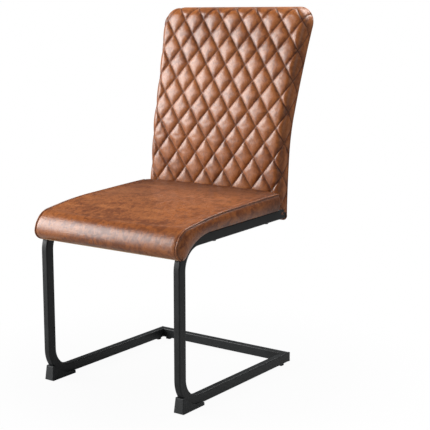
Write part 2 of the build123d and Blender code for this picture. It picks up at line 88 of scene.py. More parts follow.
class Value:
    """A number carried by a socket, so that shader maths reads as Python expressions."""

    def __init__(self, tree: bpy.types.NodeTree, socket: bpy.types.NodeSocket) -> None:
        """Keeps the tree that new nodes go to and the socket that carries the number."""
        self.tree = tree
        self.socket = socket

    def math(self, operation: str, *terms: "Value | float") -> "Value":
        """Adds one Math node.

        Args:
            operation: The Math node's operation.
            terms: Its terms, in order.

        Returns:
            The result as a value.
        """
        inputs = dict(enumerate(terms))
        node = add_node(self.tree, "ShaderNodeMath", {"operation": operation}, inputs)
        return Value(self.tree, node.outputs[0])

    def __add__(self, other: "Value | float") -> "Value":
        """Sum."""
        return self.math("ADD", self, other)

    def __radd__(self, other: float) -> "Value":
        """Sum with a plain number first."""
        return self.math("ADD", other, self)

    def __sub__(self, other: "Value | float") -> "Value":
        """Difference."""
        return self.math("SUBTRACT", self, other)

    def __rsub__(self, other: float) -> "Value":
        """Difference from a plain number."""
        return self.math("SUBTRACT", other, self)

    def __mul__(self, other: "Value | float") -> "Value":
        """Product."""
        return self.math("MULTIPLY", self, other)

    def __rmul__(self, other: float) -> "Value":
        """Product with a plain number first."""
        return self.math("MULTIPLY", other, self)

    def apart(self, other: float) -> "Value":
        """Distance from a plain number."""
        return self.math("ABSOLUTE", self - other)

    def between(self, low: float, high: float) -> "Value":
        """Rises smoothly from 0 at low to 1 at high, and stays there.

        Args:
            low: Where it leaves 0.
            high: Where it reaches 1.

        Returns:
            The eased value.
        """
        inputs = {"Value": self, "From Min": low, "From Max": high}
        smooth = {"interpolation_type": "SMOOTHSTEP"}
        node = add_node(self.tree, "ShaderNodeMapRange", smooth, inputs)
        return Value(self.tree, node.outputs["Result"])


def add_node(
    tree: bpy.types.NodeTree,
    kind: str,
    settings: dict[str, object] | None = None,
    inputs: dict[str | int, object] | None = None,
) -> bpy.types.Node:
    """Adds any node to a tree.

    Args:
        tree: The tree.
        kind: The node's type.
        settings: Its settings, set first.
        inputs: Values or links of its sockets, by name or place.

    Returns:
        The node.
    """
    node = tree.nodes.new(kind)
    for name, setting in (settings or {}).items():
        setattr(node, name, setting)
    for name, item in (inputs or {}).items():
        feed(tree, node.inputs[name], item)
    return node


def feed(tree: bpy.types.NodeTree, place: bpy.types.NodeSocket, item: object) -> None:
    """Links a value or a socket to a place, or sets a plain number or colour there."""
    if isinstance(item, Value):
        tree.links.new(item.socket, place)
    elif isinstance(item, bpy.types.NodeSocket):
        tree.links.new(item, place)
    else:
        place.default_value = item


class Paint:
    """Node tree of one material with a Principled shader."""

    def __init__(self, name: str) -> None:
        """Starts the material with a shader and an output."""
        self.material = bpy.data.materials.new(name)
        self.material.use_nodes = True
        self.tree = self.material.node_tree
        self.tree.nodes.clear()
        self.shader = self.add("ShaderNodeBsdfPrincipled")
        surface = {"Surface": self.shader.outputs[0]}
        self.output = self.add("ShaderNodeOutputMaterial", inputs=surface)

    def add(
        self,
        kind: str,
        settings: dict[str, object] | None = None,
        inputs: dict[str | int, object] | None = None,
    ) -> bpy.types.Node:
        """Adds any node to the material, as add_node does."""
        return add_node(self.tree, kind, settings, inputs)

    def set(self, **inputs: object) -> None:
        """Feeds the shader's sockets, named with underscores for spaces."""
        for name, item in inputs.items():
            feed(self.tree, self.shader.inputs[name.replace("_", " ")], item)

    def place(
        self, stretch: tuple[float, float, float] = (1, 1, 1), turn: float = 0.0
    ) -> bpy.types.NodeSocket:
        """Object coordinates, stretched and turned about Z.

        Args:
            stretch: Stretch of the pattern along each axis.
            turn: Turn about Z, in degrees.

        Returns:
            The vector socket.
        """
        source = self.add("ShaderNodeTexCoord").outputs["Object"]
        inputs = {"Vector": source, "Scale": stretch, "Rotation": (0, 0, math.radians(turn))}
        return self.add("ShaderNodeMapping", inputs=inputs).outputs["Vector"]

    def noise(self, scale: float, detail: float = 4.0, warp: float = 0.0, **place: object) -> Value:
        """Cloudy noise over the object.

        Args:
            scale: Clouds in a metre.
            detail: Octaves of finer noise.
            warp: Distortion of the clouds.
            place: Stretch and turn of the pattern.

        Returns:
            The noise, about 0 to 1.
        """
        inputs = {"Vector": self.place(**place), "Scale": scale}
        inputs |= {"Detail": detail, "Distortion": warp}
        return Value(self.tree, self.add("ShaderNodeTexNoise", inputs=inputs).outputs["Fac"])

    def cells(self, scale: float, feature: str = "F1", **place: object) -> Value:
        """Distance in a pattern of cells.

        Args:
            scale: Cells in a metre.
            feature: Which distance of the cells is given.
            place: Stretch and turn of the pattern.

        Returns:
            The distance.
        """
        inputs = {"Vector": self.place(**place), "Scale": scale}
        node = self.add("ShaderNodeTexVoronoi", {"feature": feature}, inputs)
        return Value(self.tree, node.outputs["Distance"])

    def attribute(self, name: str) -> Value:
        """A number kept on the mesh."""
        node = self.add("ShaderNodeAttribute", {"attribute_name": name})
        return Value(self.tree, node.outputs["Fac"])

    def mix(self, share: Value | float, first: object, second: object) -> bpy.types.NodeSocket:
        """Mixes two colours.

        Args:
            share: Share of the second colour.
            first: First colour or socket.
            second: Second colour or socket.

        Returns:
            The mixed colour's socket.
        """
        inputs = {0: share, 6: first, 7: second}
        return self.add("ShaderNodeMix", {"data_type": "RGBA"}, inputs).outputs[2]

    def bump(self, height: Value, distance: float, strength: float = 1.0) -> bpy.types.NodeSocket:
        """Normal that a height of a given distance gives."""
        inputs = {"Height": height, "Distance": distance, "Strength": strength}
        return self.add("ShaderNodeBump", inputs=inputs).outputs["Normal"]


@dataclass(frozen=True)
class Finish:
    """A named finish that coats one material."""

    name: str

    def make(self) -> bpy.types.Material:
        """Builds the material."""
        paint = Paint(self.name)
        self.coat(paint)
        return paint.material

    def coat(self, paint: Paint) -> None:
        """Adds the finish's nodes to a new material."""
        raise NotImplementedError


@dataclass(frozen=True)
class LeatherFinish(Finish):
    """Waxed pull-up leather: mottled cognac, paler where it is rubbed, darker along sewn lines,
    with painted shade in quilting valleys, at seams, round the back's rim and over the seat's rear.
    """

    tan: Colour = (0.330, 0.102, 0.026, 1)
    dark: Colour = (0.168, 0.045, 0.011, 1)
    pale: Colour = (0.52, 0.188, 0.058, 1)
    # Colour of the sewn lines, also used for painted shade in quilting valleys, at seams, round the
    # back's rim and over the seat's rear.
    sewn: Colour = (0.052, 0.013, 0.004, 1)
    grain: float = 820.0

    def coat(self, paint: Paint) -> None:
        """Adds the finish's nodes."""
        cloud = paint.noise(7.0, 5.0, 0.7)
        patch = paint.noise(84.0, 6.0, 0.9, stretch=(1.0, 0.7, 0.8), turn=25)
        streak = paint.noise(22.0, 4.0, 0.5, stretch=(0.45, 1.6, 1.2), turn=-18)
        vein = paint.noise(46.0, 5.0, 1.4, stretch=(1.0, 0.8, 1.0), turn=40)
        fleck = paint.noise(210.0, 3.0)
        crease = paint.attribute("crease")
        rub = paint.attribute("rub")
        depth = (cloud * 0.3 + patch * 0.7).between(0.38, 0.57)
        colour = paint.mix(depth, self.dark, self.tan)
        colour = paint.mix(streak.between(0.52, 0.74) * 0.45, colour, self.pale)
        ridge = 1 - vein.apart(0.5) * 14.0
        veined = ridge.between(0.2, 1.0) * cloud.between(0.40, 0.62)
        colour = paint.mix(veined * 0.40, colour, self.pale)
        colour = paint.mix(fleck.between(0.56, 0.72) * 0.45, colour, self.dark)
        colour = paint.mix(rub.between(0.55, 1.0) * (0.12 + patch * 0.25), colour, self.pale)
        # Painted shade: darkens towards the sewn colour where the mesh marks seams, quilting
        # valleys, the back's rim and the seat's rear.
        colour = paint.mix(crease.between(0.15, 1.0) * 0.8, colour, self.sewn)
        pores = paint.cells(self.grain, "SMOOTH_F1")
        wrinkle = paint.noise(430.0, 4.0, 0.4)
        crackle = paint.cells(210.0, "DISTANCE_TO_EDGE").between(0.0, 0.16)
        gloss = 0.34 - patch * 0.14 + (1 - pores) * 0.05 + crease * 0.25
        height = pores * 0.6 + wrinkle * 0.8 + streak * 0.8 + crackle * 0.7
        paint.set(Base_Color=colour, Roughness=gloss, Normal=paint.bump(height, 0.00014, 0.7))
        paint.set(Specular_IOR_Level=0.5)


@dataclass(frozen=True)
class PowderCoatFinish(Finish):
    """Satin black powder coat with a fine orange peel."""

    black: Colour = (0.0050, 0.0062, 0.0066, 1)
    worn: Colour = (0.0100, 0.0118, 0.0126, 1)

    def coat(self, paint: Paint) -> None:
        """Adds the finish's nodes."""
        cloud = paint.noise(30.0, 4.0)
        peel = paint.noise(1500.0, 2.0)
        dust = paint.noise(5200.0, 1.0)
        colour = paint.mix(cloud.between(0.35, 0.7), self.black, self.worn)
        gloss = 0.38 + cloud * 0.10 + dust * 0.05
        relief = paint.bump(peel + dust * 0.3, 0.00004, 0.2)
        paint.set(Base_Color=colour, Roughness=gloss, Normal=relief)
        paint.set(Specular_IOR_Level=0.42)


@dataclass(frozen=True)
class MouldedPlasticFinish(Finish):
    """Dark moulded plastic with a spark-eroded texture."""

    dark: Colour = (0.017, 0.019, 0.020, 1)
    scuffed: Colour = (0.038, 0.041, 0.043, 1)

    def coat(self, paint: Paint) -> None:
        """Adds the finish's nodes."""
        grain = paint.cells(1900.0)
        scuff = paint.noise(70.0, 5.0, 0.8, stretch=(1.0, 0.4, 2.0))
        colour = paint.mix(scuff.between(0.55, 0.8), self.dark, self.scuffed)
        gloss = 0.52 + scuff * 0.12 + grain * 0.08
        paint.set(Base_Color=colour, Roughness=gloss, Normal=paint.bump(grain, 0.00008, 0.5))


@dataclass(frozen=True)
class PlywoodFinish(Finish):
    """Pressed beech ply, with long figure and thin dark glue lines."""

    early: Colour = (0.50, 0.33, 0.19, 1)
    late: Colour = (0.33, 0.195, 0.10, 1)

    def coat(self, paint: Paint) -> None:
        """Adds the finish's nodes."""
        figure = paint.noise(26.0, 6.0, 1.2, stretch=(0.12, 1.0, 1.0))
        fibre = paint.noise(420.0, 3.0, stretch=(0.04, 1.0, 1.0))
        colour = paint.mix((figure * 0.7 + fibre * 0.3).between(0.38, 0.64), self.early, self.late)
        relief = paint.bump(figure * 0.4 + fibre, 0.0002, 0.4)
        paint.set(Base_Color=colour, Roughness=0.58 + fibre * 0.14, Normal=relief)


@dataclass(frozen=True)
class WovenClothFinish(Finish):
    """Black spun cloth with a fine bonded dot pattern."""

    black: Colour = (0.014, 0.014, 0.015, 1)
    dot: Colour = (0.032, 0.032, 0.034, 1)

    def coat(self, paint: Paint) -> None:
        """Adds the finish's nodes."""
        dots = paint.cells(620.0, stretch=(1.0, 0.72, 1.0), turn=30)
        fibre = paint.noise(900.0, 3.0, 0.5)
        colour = paint.mix(dots.between(0.2, 0.5), self.dot, self.black)
        paint.set(Base_Color=colour, Roughness=0.82 + fibre * 0.12)
        paint.set(Normal=paint.bump(dots + fibre * 0.5, 0.00018, 0.7))


@dataclass(frozen=True)
class ZincFinish(Finish):
    """Bright zinc plate with a faint yellow pass and fine turning marks."""

    bright: Colour = (0.52, 0.53, 0.55, 1)
    passed: Colour = (0.50, 0.47, 0.36, 1)

    def coat(self, paint: Paint) -> None:
        """Adds the finish's nodes."""
        cloud = paint.noise(160.0, 4.0)
        marks = paint.noise(1400.0, 2.0, stretch=(1.0, 1.0, 3.0))
        colour = paint.mix(cloud.between(0.45, 0.7), self.bright, self.passed)
        paint.set(Base_Color=colour, Roughness=0.28 + cloud * 0.16, Metallic=1.0)
        paint.set(Normal=paint.bump(marks, 0.00004, 0.5))


@dataclass(frozen=True)
class ThreadFinish(Finish):
    """Waxed polyester thread, with its ply as fine ridges."""

    brown: Colour = (0.048, 0.014, 0.006, 1)
    light: Colour = (0.100, 0.032, 0.014, 1)

    def coat(self, paint: Paint) -> None:
        """Adds the finish's nodes."""
        ply = paint.noise(2600.0, 2.0)
        colour = paint.mix(ply.between(0.4, 0.65), self.brown, self.light)
        paint.set(Base_Color=colour, Roughness=0.6 + ply * 0.15)
        paint.set(Normal=paint.bump(ply, 0.0001, 0.6))
        paint.set(Specular_IOR_Level=0.2)


class Finishes:
    """The chair's finishes, each made once."""

    def __init__(self) -> None:
        """Makes every material."""
        self.leather = LeatherFinish("cognac_leather").make()
        self.edge_leather = LeatherFinish(
            "cognac_edge_leather", tan=(0.36, 0.115, 0.032, 1), dark=(0.17, 0.046, 0.014, 1)
        ).make()
        self.steel = PowderCoatFinish("satin_black_powder_coat").make()
        self.plastic = MouldedPlasticFinish("dark_moulded_plastic").make()
        self.ply = PlywoodFinish("pressed_beech_ply").make()
        self.cloth = WovenClothFinish("black_spun_cloth").make()
        self.zinc = ZincFinish("zinc_plated_steel").make()
        self.thread = ThreadFinish("waxed_brown_thread").make()


def new_piece(
    name: str,
    points: np.ndarray,
    faces: list | np.ndarray,
    material: bpy.types.Material,
    numbers: dict[str, np.ndarray] | None = None,
) -> bpy.types.Object:
    """Makes a smooth-shaded mesh object at the origin.

    Args:
        name: Name of the piece.
        points: Its vertices in metres, in the chair's frame.
        faces: Vertex indices of each face.
        material: Its finish.
        numbers: Numbers kept on its vertices, by name.

    Returns:
        The object, linked to the scene.
    """
    mesh = bpy.data.meshes.new(name)
    mesh.from_pydata(points.tolist(), [], [tuple(int(index) for index in face) for face in faces])
    mesh.shade_smooth()
    mesh.materials.append(material)
    for label, numbers_there in (numbers or {}).items():
        layer = mesh.attributes.new(label, "FLOAT", "POINT")
        layer.data.foreach_set("value", numbers_there.astype(np.float32))
    piece = bpy.data.objects.new(name, mesh)
    bpy.context.scene.collection.objects.link(piece)
    return piece


def seat_on_chair(piece: bpy.types.Object, slot: Slot, *nodes: str) -> None:
    """Lets a piece ride on the chair and stand for CAD nodes, which are hidden."""
    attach(piece, BODY)
    if nodes:
        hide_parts(*nodes)
    log.info("%s: %d faces", piece.name, len(piece.data.polygons))


def corner_normals(points: np.ndarray, faces: np.ndarray) -> np.ndarray:
    """Unit normals at the vertices of a triangle mesh.

    Args:
        points: Vertices.
        faces: Triangles.

    Returns:
        One normal for each vertex, weighted by area.
    """
    first, second, third = (points[faces[:, place]] for place in range(3))
    across = np.cross(second - first, third - first)
    total = np.zeros_like(points)
    for place in range(3):
        np.add.at(total, faces[:, place], across)
    return total / np.maximum(np.linalg.norm(total, axis=1, keepdims=True), 1e-12)


def eased(share: np.ndarray) -> np.ndarray:
    """Smooth step of a share from 0 to 1."""
    share = np.clip(share, 0.0, 1.0)
    return share * share * (3.0 - 2.0 * share)


@dataclass(frozen=True)
class Stuffing:
    """How a sewn cover is blown out by its filling."""

    pressure: float
    slack: float
    cap: float
    bending: float = 0.4
    frames: int = 16
    evenings: int = 6

    def fill(self, piece: bpy.types.Object, held: np.ndarray, share: np.ndarray) -> None:
        """Simulates the cover as cloth and keeps the result in the mesh.

        Args:
            piece: The cover.
            held: Vertices that the seams hold still.
            share: Share of its movement that each vertex keeps.
        """
        group = piece.vertex_groups.new(name="sewn")
        group.add([int(index) for index in held], 1.0, "REPLACE")
        cloth = piece.modifiers.new("stuffing", "CLOTH")
        settings = cloth.settings
        settings.quality = 5
        settings.mass = 0.25
        settings.tension_stiffness = 20
        settings.compression_stiffness = 20
        settings.shear_stiffness = 10
        settings.bending_stiffness = self.bending
        settings.use_pressure = True
        settings.uniform_pressure_force = self.pressure
        settings.vertex_group_mass = group.name
        settings.effector_weights.gravity = 0.0
        settings.shrink_min = -self.slack
        cloth.point_cache.frame_start = 1
        cloth.point_cache.frame_end = self.frames
        scene = bpy.context.scene
        for step in range(1, self.frames + 1):
            scene.frame_set(step)
        graph = bpy.context.evaluated_depsgraph_get()
        blown = piece.evaluated_get(graph).to_mesh()
        rest = read_points(piece.data)
        moved = self.smoothed(read_points(blown) - rest, piece.data, held)
        piece.evaluated_get(graph).to_mesh_clear()
        piece.modifiers.remove(cloth)
        scene.frame_set(1)
        length = np.linalg.norm(moved, axis=1, keepdims=True)
        moved *= np.minimum(1.0, self.cap / np.maximum(length, 1e-9)) * share[:, None]
        piece.data.vertices.foreach_set("co", (rest + moved).astype(np.float32).ravel())
        piece.data.update()
        piece.vertex_groups.clear()

    def smoothed(self, moved: np.ndarray, mesh: bpy.types.Mesh, held: np.ndarray) -> np.ndarray:
        """Evens the cover's movement out over its edges, as thick leather does.

        Args:
            moved: How far each vertex moved.
            mesh: The cover's mesh.
            held: Vertices that stay still.

        Returns:
            The evened movement.
        """
        ends = np.zeros(len(mesh.edges) * 2, dtype=np.int32)
        mesh.edges.foreach_get("vertices", ends)
        first, second = ends.reshape(-1, 2).T
        count = np.bincount(ends, minlength=len(moved))[:, None]
        for _ in range(self.evenings):
            total = np.zeros_like(moved)
            np.add.at(total, first, moved[second])
            np.add.at(total, second, moved[first])
            moved = 0.5 * moved + 0.5 * total / count
            moved[held] = 0.0
        return moved


def read_points(mesh: bpy.types.Mesh) -> np.ndarray:
    """Vertices of a mesh as rows of three numbers."""
    flat = np.zeros(len(mesh.vertices) * 3)
    mesh.vertices.foreach_get("co", flat)
    return flat.reshape(-1, 3)


class PathTree:
    """Geometry nodes that lay something along the edges of a mesh."""

    def __init__(self, name: str) -> None:
        """Starts the tree with a path, a radius and a material."""
        self.tree = bpy.data.node_groups.new(name, "GeometryNodeTree")
        self.inputs: dict[str, str] = {}
        self.socket("Path", "NodeSocketGeometry")
        self.socket("Radius", "NodeSocketFloat")
        self.socket("Material", "NodeSocketMaterial")
        self.tree.interface.new_socket("Made", in_out="OUTPUT", socket_type="NodeSocketGeometry")
        self.source = self.tree.nodes.new("NodeGroupInput")

    def socket(self, name: str, kind: str) -> None:
        """Adds a named input and keeps its identifier."""
        made = self.tree.interface.new_socket(name, in_out="INPUT", socket_type=kind)
        self.inputs[name] = made.identifier

    def add(
        self, kind: str, inputs: dict[str | int, object], **settings: object
    ) -> bpy.types.NodeSocket:
        """Adds a node, as add_node does, and gives its first output."""
        return add_node(self.tree, kind, settings, inputs).outputs[0]

    def end(self, geometry: bpy.types.NodeSocket) -> None:
        """Realizes the instances, shades them smooth and sets the material."""
        real = self.add("GeometryNodeRealizeInstances", {"Geometry": geometry})
        smooth = self.add("GeometryNodeSetShadeSmooth", {"Geometry": real})
        inputs = {"Geometry": smooth, "Material": self.source.outputs["Material"]}
        dressed = self.add("GeometryNodeSetMaterial", inputs)
        add_node(self.tree, "NodeGroupOutput", inputs={0: dressed})

    def lay(
        self,
        name: str,
        lines: list[np.ndarray],
        closed: bool,
        material: bpy.types.Material,
        **sizes: float,
    ) -> bpy.types.Object:
        """Runs the tree along lines and keeps the result as a plain mesh.

        Args:
            name: Name of the piece.
            lines: Points of each line, in metres.
            closed: Whether each line ends where it starts.
            material: Finish of the result.
            sizes: The tree's sizes by name, with underscores for spaces.

        Returns:
            The piece.
        """
        points = np.concatenate(lines)
        edges = []
        start = 0
        for line in lines:
            count = len(line)
            edges += [(start + step, start + step + 1) for step in range(count - 1)]
            if closed:
                edges.append((start + count - 1, start))
            start += count
        mesh = bpy.data.meshes.new(f"{name}_path")
        mesh.from_pydata(points.tolist(), edges, [])
        carrier = bpy.data.objects.new(f"{name}_path", mesh)
        bpy.context.scene.collection.objects.link(carrier)
        modifier = carrier.modifiers.new("path", "NODES")
        modifier.node_group = self.tree
        modifier[self.inputs["Material"]] = material
        for label, size in sizes.items():
            modifier[self.inputs[label.replace("_", " ")]] = size
        graph = bpy.context.evaluated_depsgraph_get()
        made = bpy.data.meshes.new_from_object(carrier.evaluated_get(graph), depsgraph=graph)
        carrier.modifiers.remove(modifier)
        bpy.data.objects.remove(carrier)
        bpy.data.meshes.remove(mesh)
        made.name = name
        piece = bpy.data.objects.new(name, made)
        bpy.context.scene.collection.objects.link(piece)
        return piece


class CordTree(PathTree):
    """A round cord along a path, such as piping, a welt or a weld bead."""

    def __init__(self) -> None:
        """Builds the tree."""
        super().__init__("cord_along_path")
        self.socket("Sides", "NodeSocketInt")
        sizes = self.source.outputs
        curve = self.add("GeometryNodeMeshToCurve", {"Mesh": sizes["Path"]})
        inputs = {"Resolution": sizes["Sides"], "Radius": sizes["Radius"]}
        ring = self.add("GeometryNodeCurvePrimitiveCircle", inputs, mode="RADIUS")
        inputs = {"Curve": curve, "Profile Curve": ring, "Fill Caps": True}
        self.end(self.add("GeometryNodeCurveToMesh", inputs))


class StitchTree(PathTree):
    """Stitches along a path: short rounded threads, one after another."""

    def __init__(self) -> None:
        """Builds the tree."""
        super().__init__("stitches_along_path")
        self.socket("Pitch", "NodeSocketFloat")
        self.socket("Stretch", "NodeSocketFloat")
        sizes = self.source.outputs
        curve = self.add("GeometryNodeMeshToCurve", {"Mesh": sizes["Path"]})
        inputs = {"Curve": curve, "Length": sizes["Pitch"]}
        spaced = self.add("GeometryNodeResampleCurve", inputs, mode="LENGTH")
        tangent = self.add("GeometryNodeInputTangent", {})
        turn = self.add("FunctionNodeAlignRotationToVector", {"Vector": tangent}, axis="X")
        inputs = {"Radius": sizes["Radius"], "Subdivisions": 1}
        thread = self.add("GeometryNodeMeshIcoSphere", inputs)
        scale = self.add("ShaderNodeCombineXYZ", {"X": sizes["Stretch"], "Y": 1.0, "Z": 1.0})
        inputs = {"Points": spaced, "Instance": thread, "Rotation": turn, "Scale": scale}
        self.end(self.add("GeometryNodeInstanceOnPoints", inputs))


@dataclass(frozen=True)
class Sheet:
    """Triangles of a flat pattern whose border lies on an outline."""

    points: np.ndarray
    faces: np.ndarray
    border: np.ndarray
    reach: np.ndarray
    foot: np.ndarray
    out: np.ndarray


@dataclass
class Outline:
    """Closed outline of a flat pattern, run counter-clockwise, with normals that point outwards."""

    points: np.ndarray
    tangents: np.ndarray = field(init=False)
    normals: np.ndarray = field(init=False)

    def __post_init__(self) -> None:
        """Works out tangents and normals."""
        ahead = np.roll(self.points, -1, axis=0) - np.roll(self.points, 1, axis=0)
        self.tangents = ahead / np.linalg.norm(ahead, axis=1, keepdims=True)
        self.normals = np.column_stack([self.tangents[:, 1], -self.tangents[:, 0]])

    def measure(self, places: np.ndarray) -> tuple[np.ndarray, np.ndarray, np.ndarray]:
        """Finds the nearest place of the outline.

        Args:
            places: Points of the pattern.

        Returns:
            Distance outwards, nearest place and outward normal of each point.
        """
        nearest = np.concatenate([self.nearest(part) for part in np.array_split(places, 64)])
        start = self.points[nearest]
        slide = np.einsum("ij,ij->i", places - start, self.tangents[nearest])
        count = len(self.points)
        towards = np.where(slide >= 0, (nearest + 1) % count, (nearest - 1) % count)
        gap = np.linalg.norm(self.points[towards] - start, axis=1)
        share = np.clip(np.abs(slide) / np.maximum(gap, 1e-9), 0.0, 0.5)[:, None]
        normal = self.normals[nearest] * (1 - share) + self.normals[towards] * share
        normal /= np.linalg.norm(normal, axis=1, keepdims=True)
        foot = start + self.tangents[nearest] * np.clip(slide, -gap / 2, gap / 2)[:, None]
        reach = np.einsum("ij,ij->i", places - foot, normal)
        return reach, foot, normal

    def nearest(self, places: np.ndarray) -> np.ndarray:
        """Index of the outline's nearest point to each place."""
        apart = places[:, None, :] - self.points[None, :, :]
        return np.einsum("ijk,ijk->ij", apart, apart).argmin(axis=1)

    def cut(
        self,
        across: np.ndarray,
        along: np.ndarray,
        limit: float,
        valley: Callable[[np.ndarray], np.ndarray],
    ) -> Sheet:
        """Cuts a sheet from a grid and draws its border onto the outline.

        Args:
            across: Places of the grid's columns.
            along: Places of its rows.
            limit: How far outside the outline the border lies.
            valley: Gives a height at points; cells are split along their lower diagonal.

        Returns:
            The sheet.
        """
        wide, long = len(across), len(along)
        places = np.stack(np.meshgrid(across, along), axis=-1).reshape(-1, 2)
        reach, foot, out = self.measure(places)
        low = (np.arange(long - 1)[:, None] * wide + np.arange(wide - 1)[None, :]).ravel()
        corners = np.column_stack([low, low + 1, low + wide + 1, low + wide])
        height = valley(places)
        first = height[corners[:, 0]] + height[corners[:, 2]]
        second = height[corners[:, 1]] + height[corners[:, 3]]
        rising = (first <= second)[:, None]
        upper = np.where(rising, corners[:, [0, 1, 2]], corners[:, [0, 1, 3]])
        lower = np.where(rising, corners[:, [0, 2, 3]], corners[:, [1, 2, 3]])
        faces = np.concatenate([upper, lower])
        near = limit + BORDER_SLACK * (across[1] - across[0])
        faces = faces[(reach[faces] < near).all(axis=1)]
        used, flat = np.unique(faces, return_inverse=True)
        faces = flat.reshape(-1, 3)
        points, reach, foot, out = places[used], reach[used], foot[used], out[used]
        border = border_loop(faces)
        points[border] = foot[border] + out[border] * limit
        reach[border] = limit
        return Sheet(points, faces, border, reach, foot, out)


def border_loop(faces: np.ndarray) -> np.ndarray:
    """Vertices of a triangle mesh's only border, in order.

    Args:
        faces: Triangles that all turn the same way.

    Returns:
        Indices along the border, the way that the faces turn.
    """
    sides = np.concatenate([faces[:, [0, 1]], faces[:, [1, 2]], faces[:, [2, 0]]])
    ways = {(int(start), int(end)) for start, end in sides}
    ahead = {start: end for start, end in ways if (end, start) not in ways}
    loop = [min(ahead)]
    while ahead[loop[-1]] != loop[0]:
        loop.append(ahead[loop[-1]])
    return np.array(loop)


def zip_chains(
    first: list[int], second: list[int], height: np.ndarray
) -> list[tuple[int, int, int]]:
    """Joins two chains of vertices by triangles, climbing both together.

    Args:
        first: Vertices of one chain, from low to high.
        second: Vertices of the other chain, from low to high.
        height: What climbs, for every vertex.

    Returns:
        The triangles.
    """
    faces = []
    low, high = 0, 0
    while low < len(first) - 1 or high < len(second) - 1:
        first_left = low < len(first) - 1
        second_left = high < len(second) - 1
        if first_left and (not second_left or height[first[low + 1]] <= height[second[high + 1]]):
            faces.append((first[low], second[high], first[low + 1]))
            low += 1
        else:
            faces.append((first[low], second[high], second[high + 1]))
            high += 1
    return faces


@dataclass
class BackShape:
    """Leaning, bent sheet that every piece of the back follows, in metres."""

    lean_low: float = math.radians(4.9)
    lean_high: float = math.radians(15.4)
    bend_radius: float = 0.600
    bend_height: float = 0.616
    thickness: float = 0.042
    bottom_half: float = 0.2175
    waist_half: float = 0.2142
    top_half: float = 0.2359
    waist_height: float = 0.600
    top_corner: float = 0.045
    bottom_corner: float = 0.010

    def __post_init__(self) -> None:
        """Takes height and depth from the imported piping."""
        low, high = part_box("back_piping")
        self.bottom, self.top, rear = low.z, high.z, high.y
        head_y = rear - self.thickness / math.cos(self.lean_high)
        self.bend_y = head_y - (self.top - self.bend_height) * math.tan(self.lean_high)
        self.side_x, self.side_z, self.side_radius = self.circle()
        table = np.linspace(-0.5, 0.6, 2201)
        self.table_along = table
        self.table_z = self.place(table)[1]

    def circle(self) -> tuple[float, float, float]:
        """Centre and radius of the arc that the right edge follows in front view."""
        halves = (self.bottom_half, self.waist_half, self.top_half)
        rows = np.column_stack([halves, (self.bottom, self.waist_height, self.top)])
        squares = (rows**2).sum(axis=1)
        system = np.column_stack([2 * rows, np.ones(3)])
        centre_x, centre_z, rest = np.linalg.solve(system, squares)
        return centre_x, centre_z, math.sqrt(rest + centre_x**2 + centre_z**2)

    def place(self, along: np.ndarray) -> tuple[np.ndarray, np.ndarray, np.ndarray]:
        """Point of the sheet's side line.

        Args:
            along: Length along the front, counted from the bend.

        Returns:
            Y, Z and lean there.
        """
        half = (self.lean_high - self.lean_low) / 2
        middle = (self.lean_high + self.lean_low) / 2
        bent = np.clip(along, -self.bend_radius * half, self.bend_radius * half)
        lean = middle + bent / self.bend_radius
        centre = self.bend_radius / math.cos(half)
        reach, rest = -self.bend_radius, along - bent
        start_y = self.bend_y + centre * math.cos(middle)
        start_z = self.bend_height - centre * math.sin(middle)
        y = start_y + reach * np.cos(lean) + rest * np.sin(lean)
        z = start_z - reach * np.sin(lean) + rest * np.cos(lean)
        return y, z, lean

    def along(self, height: np.ndarray | float) -> np.ndarray:
        """Length along the front at a height."""
        return np.interp(height, self.table_z, self.table_along)

    def half_width(self, height: np.ndarray | float) -> np.ndarray:
        """Half of the back's width at a height, without its corners."""
        return self.side_x - np.sqrt(self.side_radius**2 - (height - self.side_z) ** 2)

    def points(self, x: np.ndarray, along: np.ndarray, depth: np.ndarray | float) -> np.ndarray:
        """Points behind places of the front, straight to the rear.

        Args:
            x: Places across.
            along: Places along the front.
            depth: Depth square to the front.

        Returns:
            One point for each place.
        """
        y, z, lean = self.place(along)
        return np.column_stack([x, y + depth / np.cos(lean), z])

    def outline(self, inset: float, foot_corner: float) -> Outline:
        """Outline of the front in lengths across and along, drawn in by an inset.

        Args:
            inset: How far it lies inside the back's edge.
            foot_corner: Radius of its lower corners.

        Returns:
            The outline.
        """
        corner = self.top_corner - inset
        top = self.top - inset
        bottom = self.bottom + inset
        centre_z = top - corner
        slope = math.asin((centre_z - self.side_z) / self.side_radius)
        centre_x = float(self.half_width(centre_z))
        centre_x = centre_x - inset / math.cos(slope) - corner / math.cos(slope)
        foot_x = float(self.half_width(bottom)) - inset - foot_corner
        turn = np.linspace(-math.pi / 2, 0, 25)
        foot = np.column_stack(
            [foot_x + foot_corner * np.cos(turn), bottom + foot_corner * (1 + np.sin(turn))]
        )
        heights = np.linspace(bottom + foot_corner, centre_z - corner * math.sin(slope), 420)[1:-1]
        edge = np.column_stack([self.half_width(heights) - inset, heights])
        turn = np.linspace(-slope, math.pi / 2, 90)
        head = np.column_stack([centre_x + corner * np.cos(turn), centre_z + corner * np.sin(turn)])
        right = np.concatenate([foot, edge, head])
        left = right[::-1] * (-1, 1)
        crest = np.linspace(centre_x, -centre_x, 300)[1:-1]
        base = np.linspace(-foot_x, foot_x, 300)[1:-1]
        loop = np.concatenate(
            [
                right,
                np.column_stack([crest, np.full_like(crest, top)]),
                left,
                np.column_stack([base, np.full_like(base, bottom)]),
            ]
        )
        return Outline(np.column_stack([loop[:, 0], self.along(loop[:, 1])]))


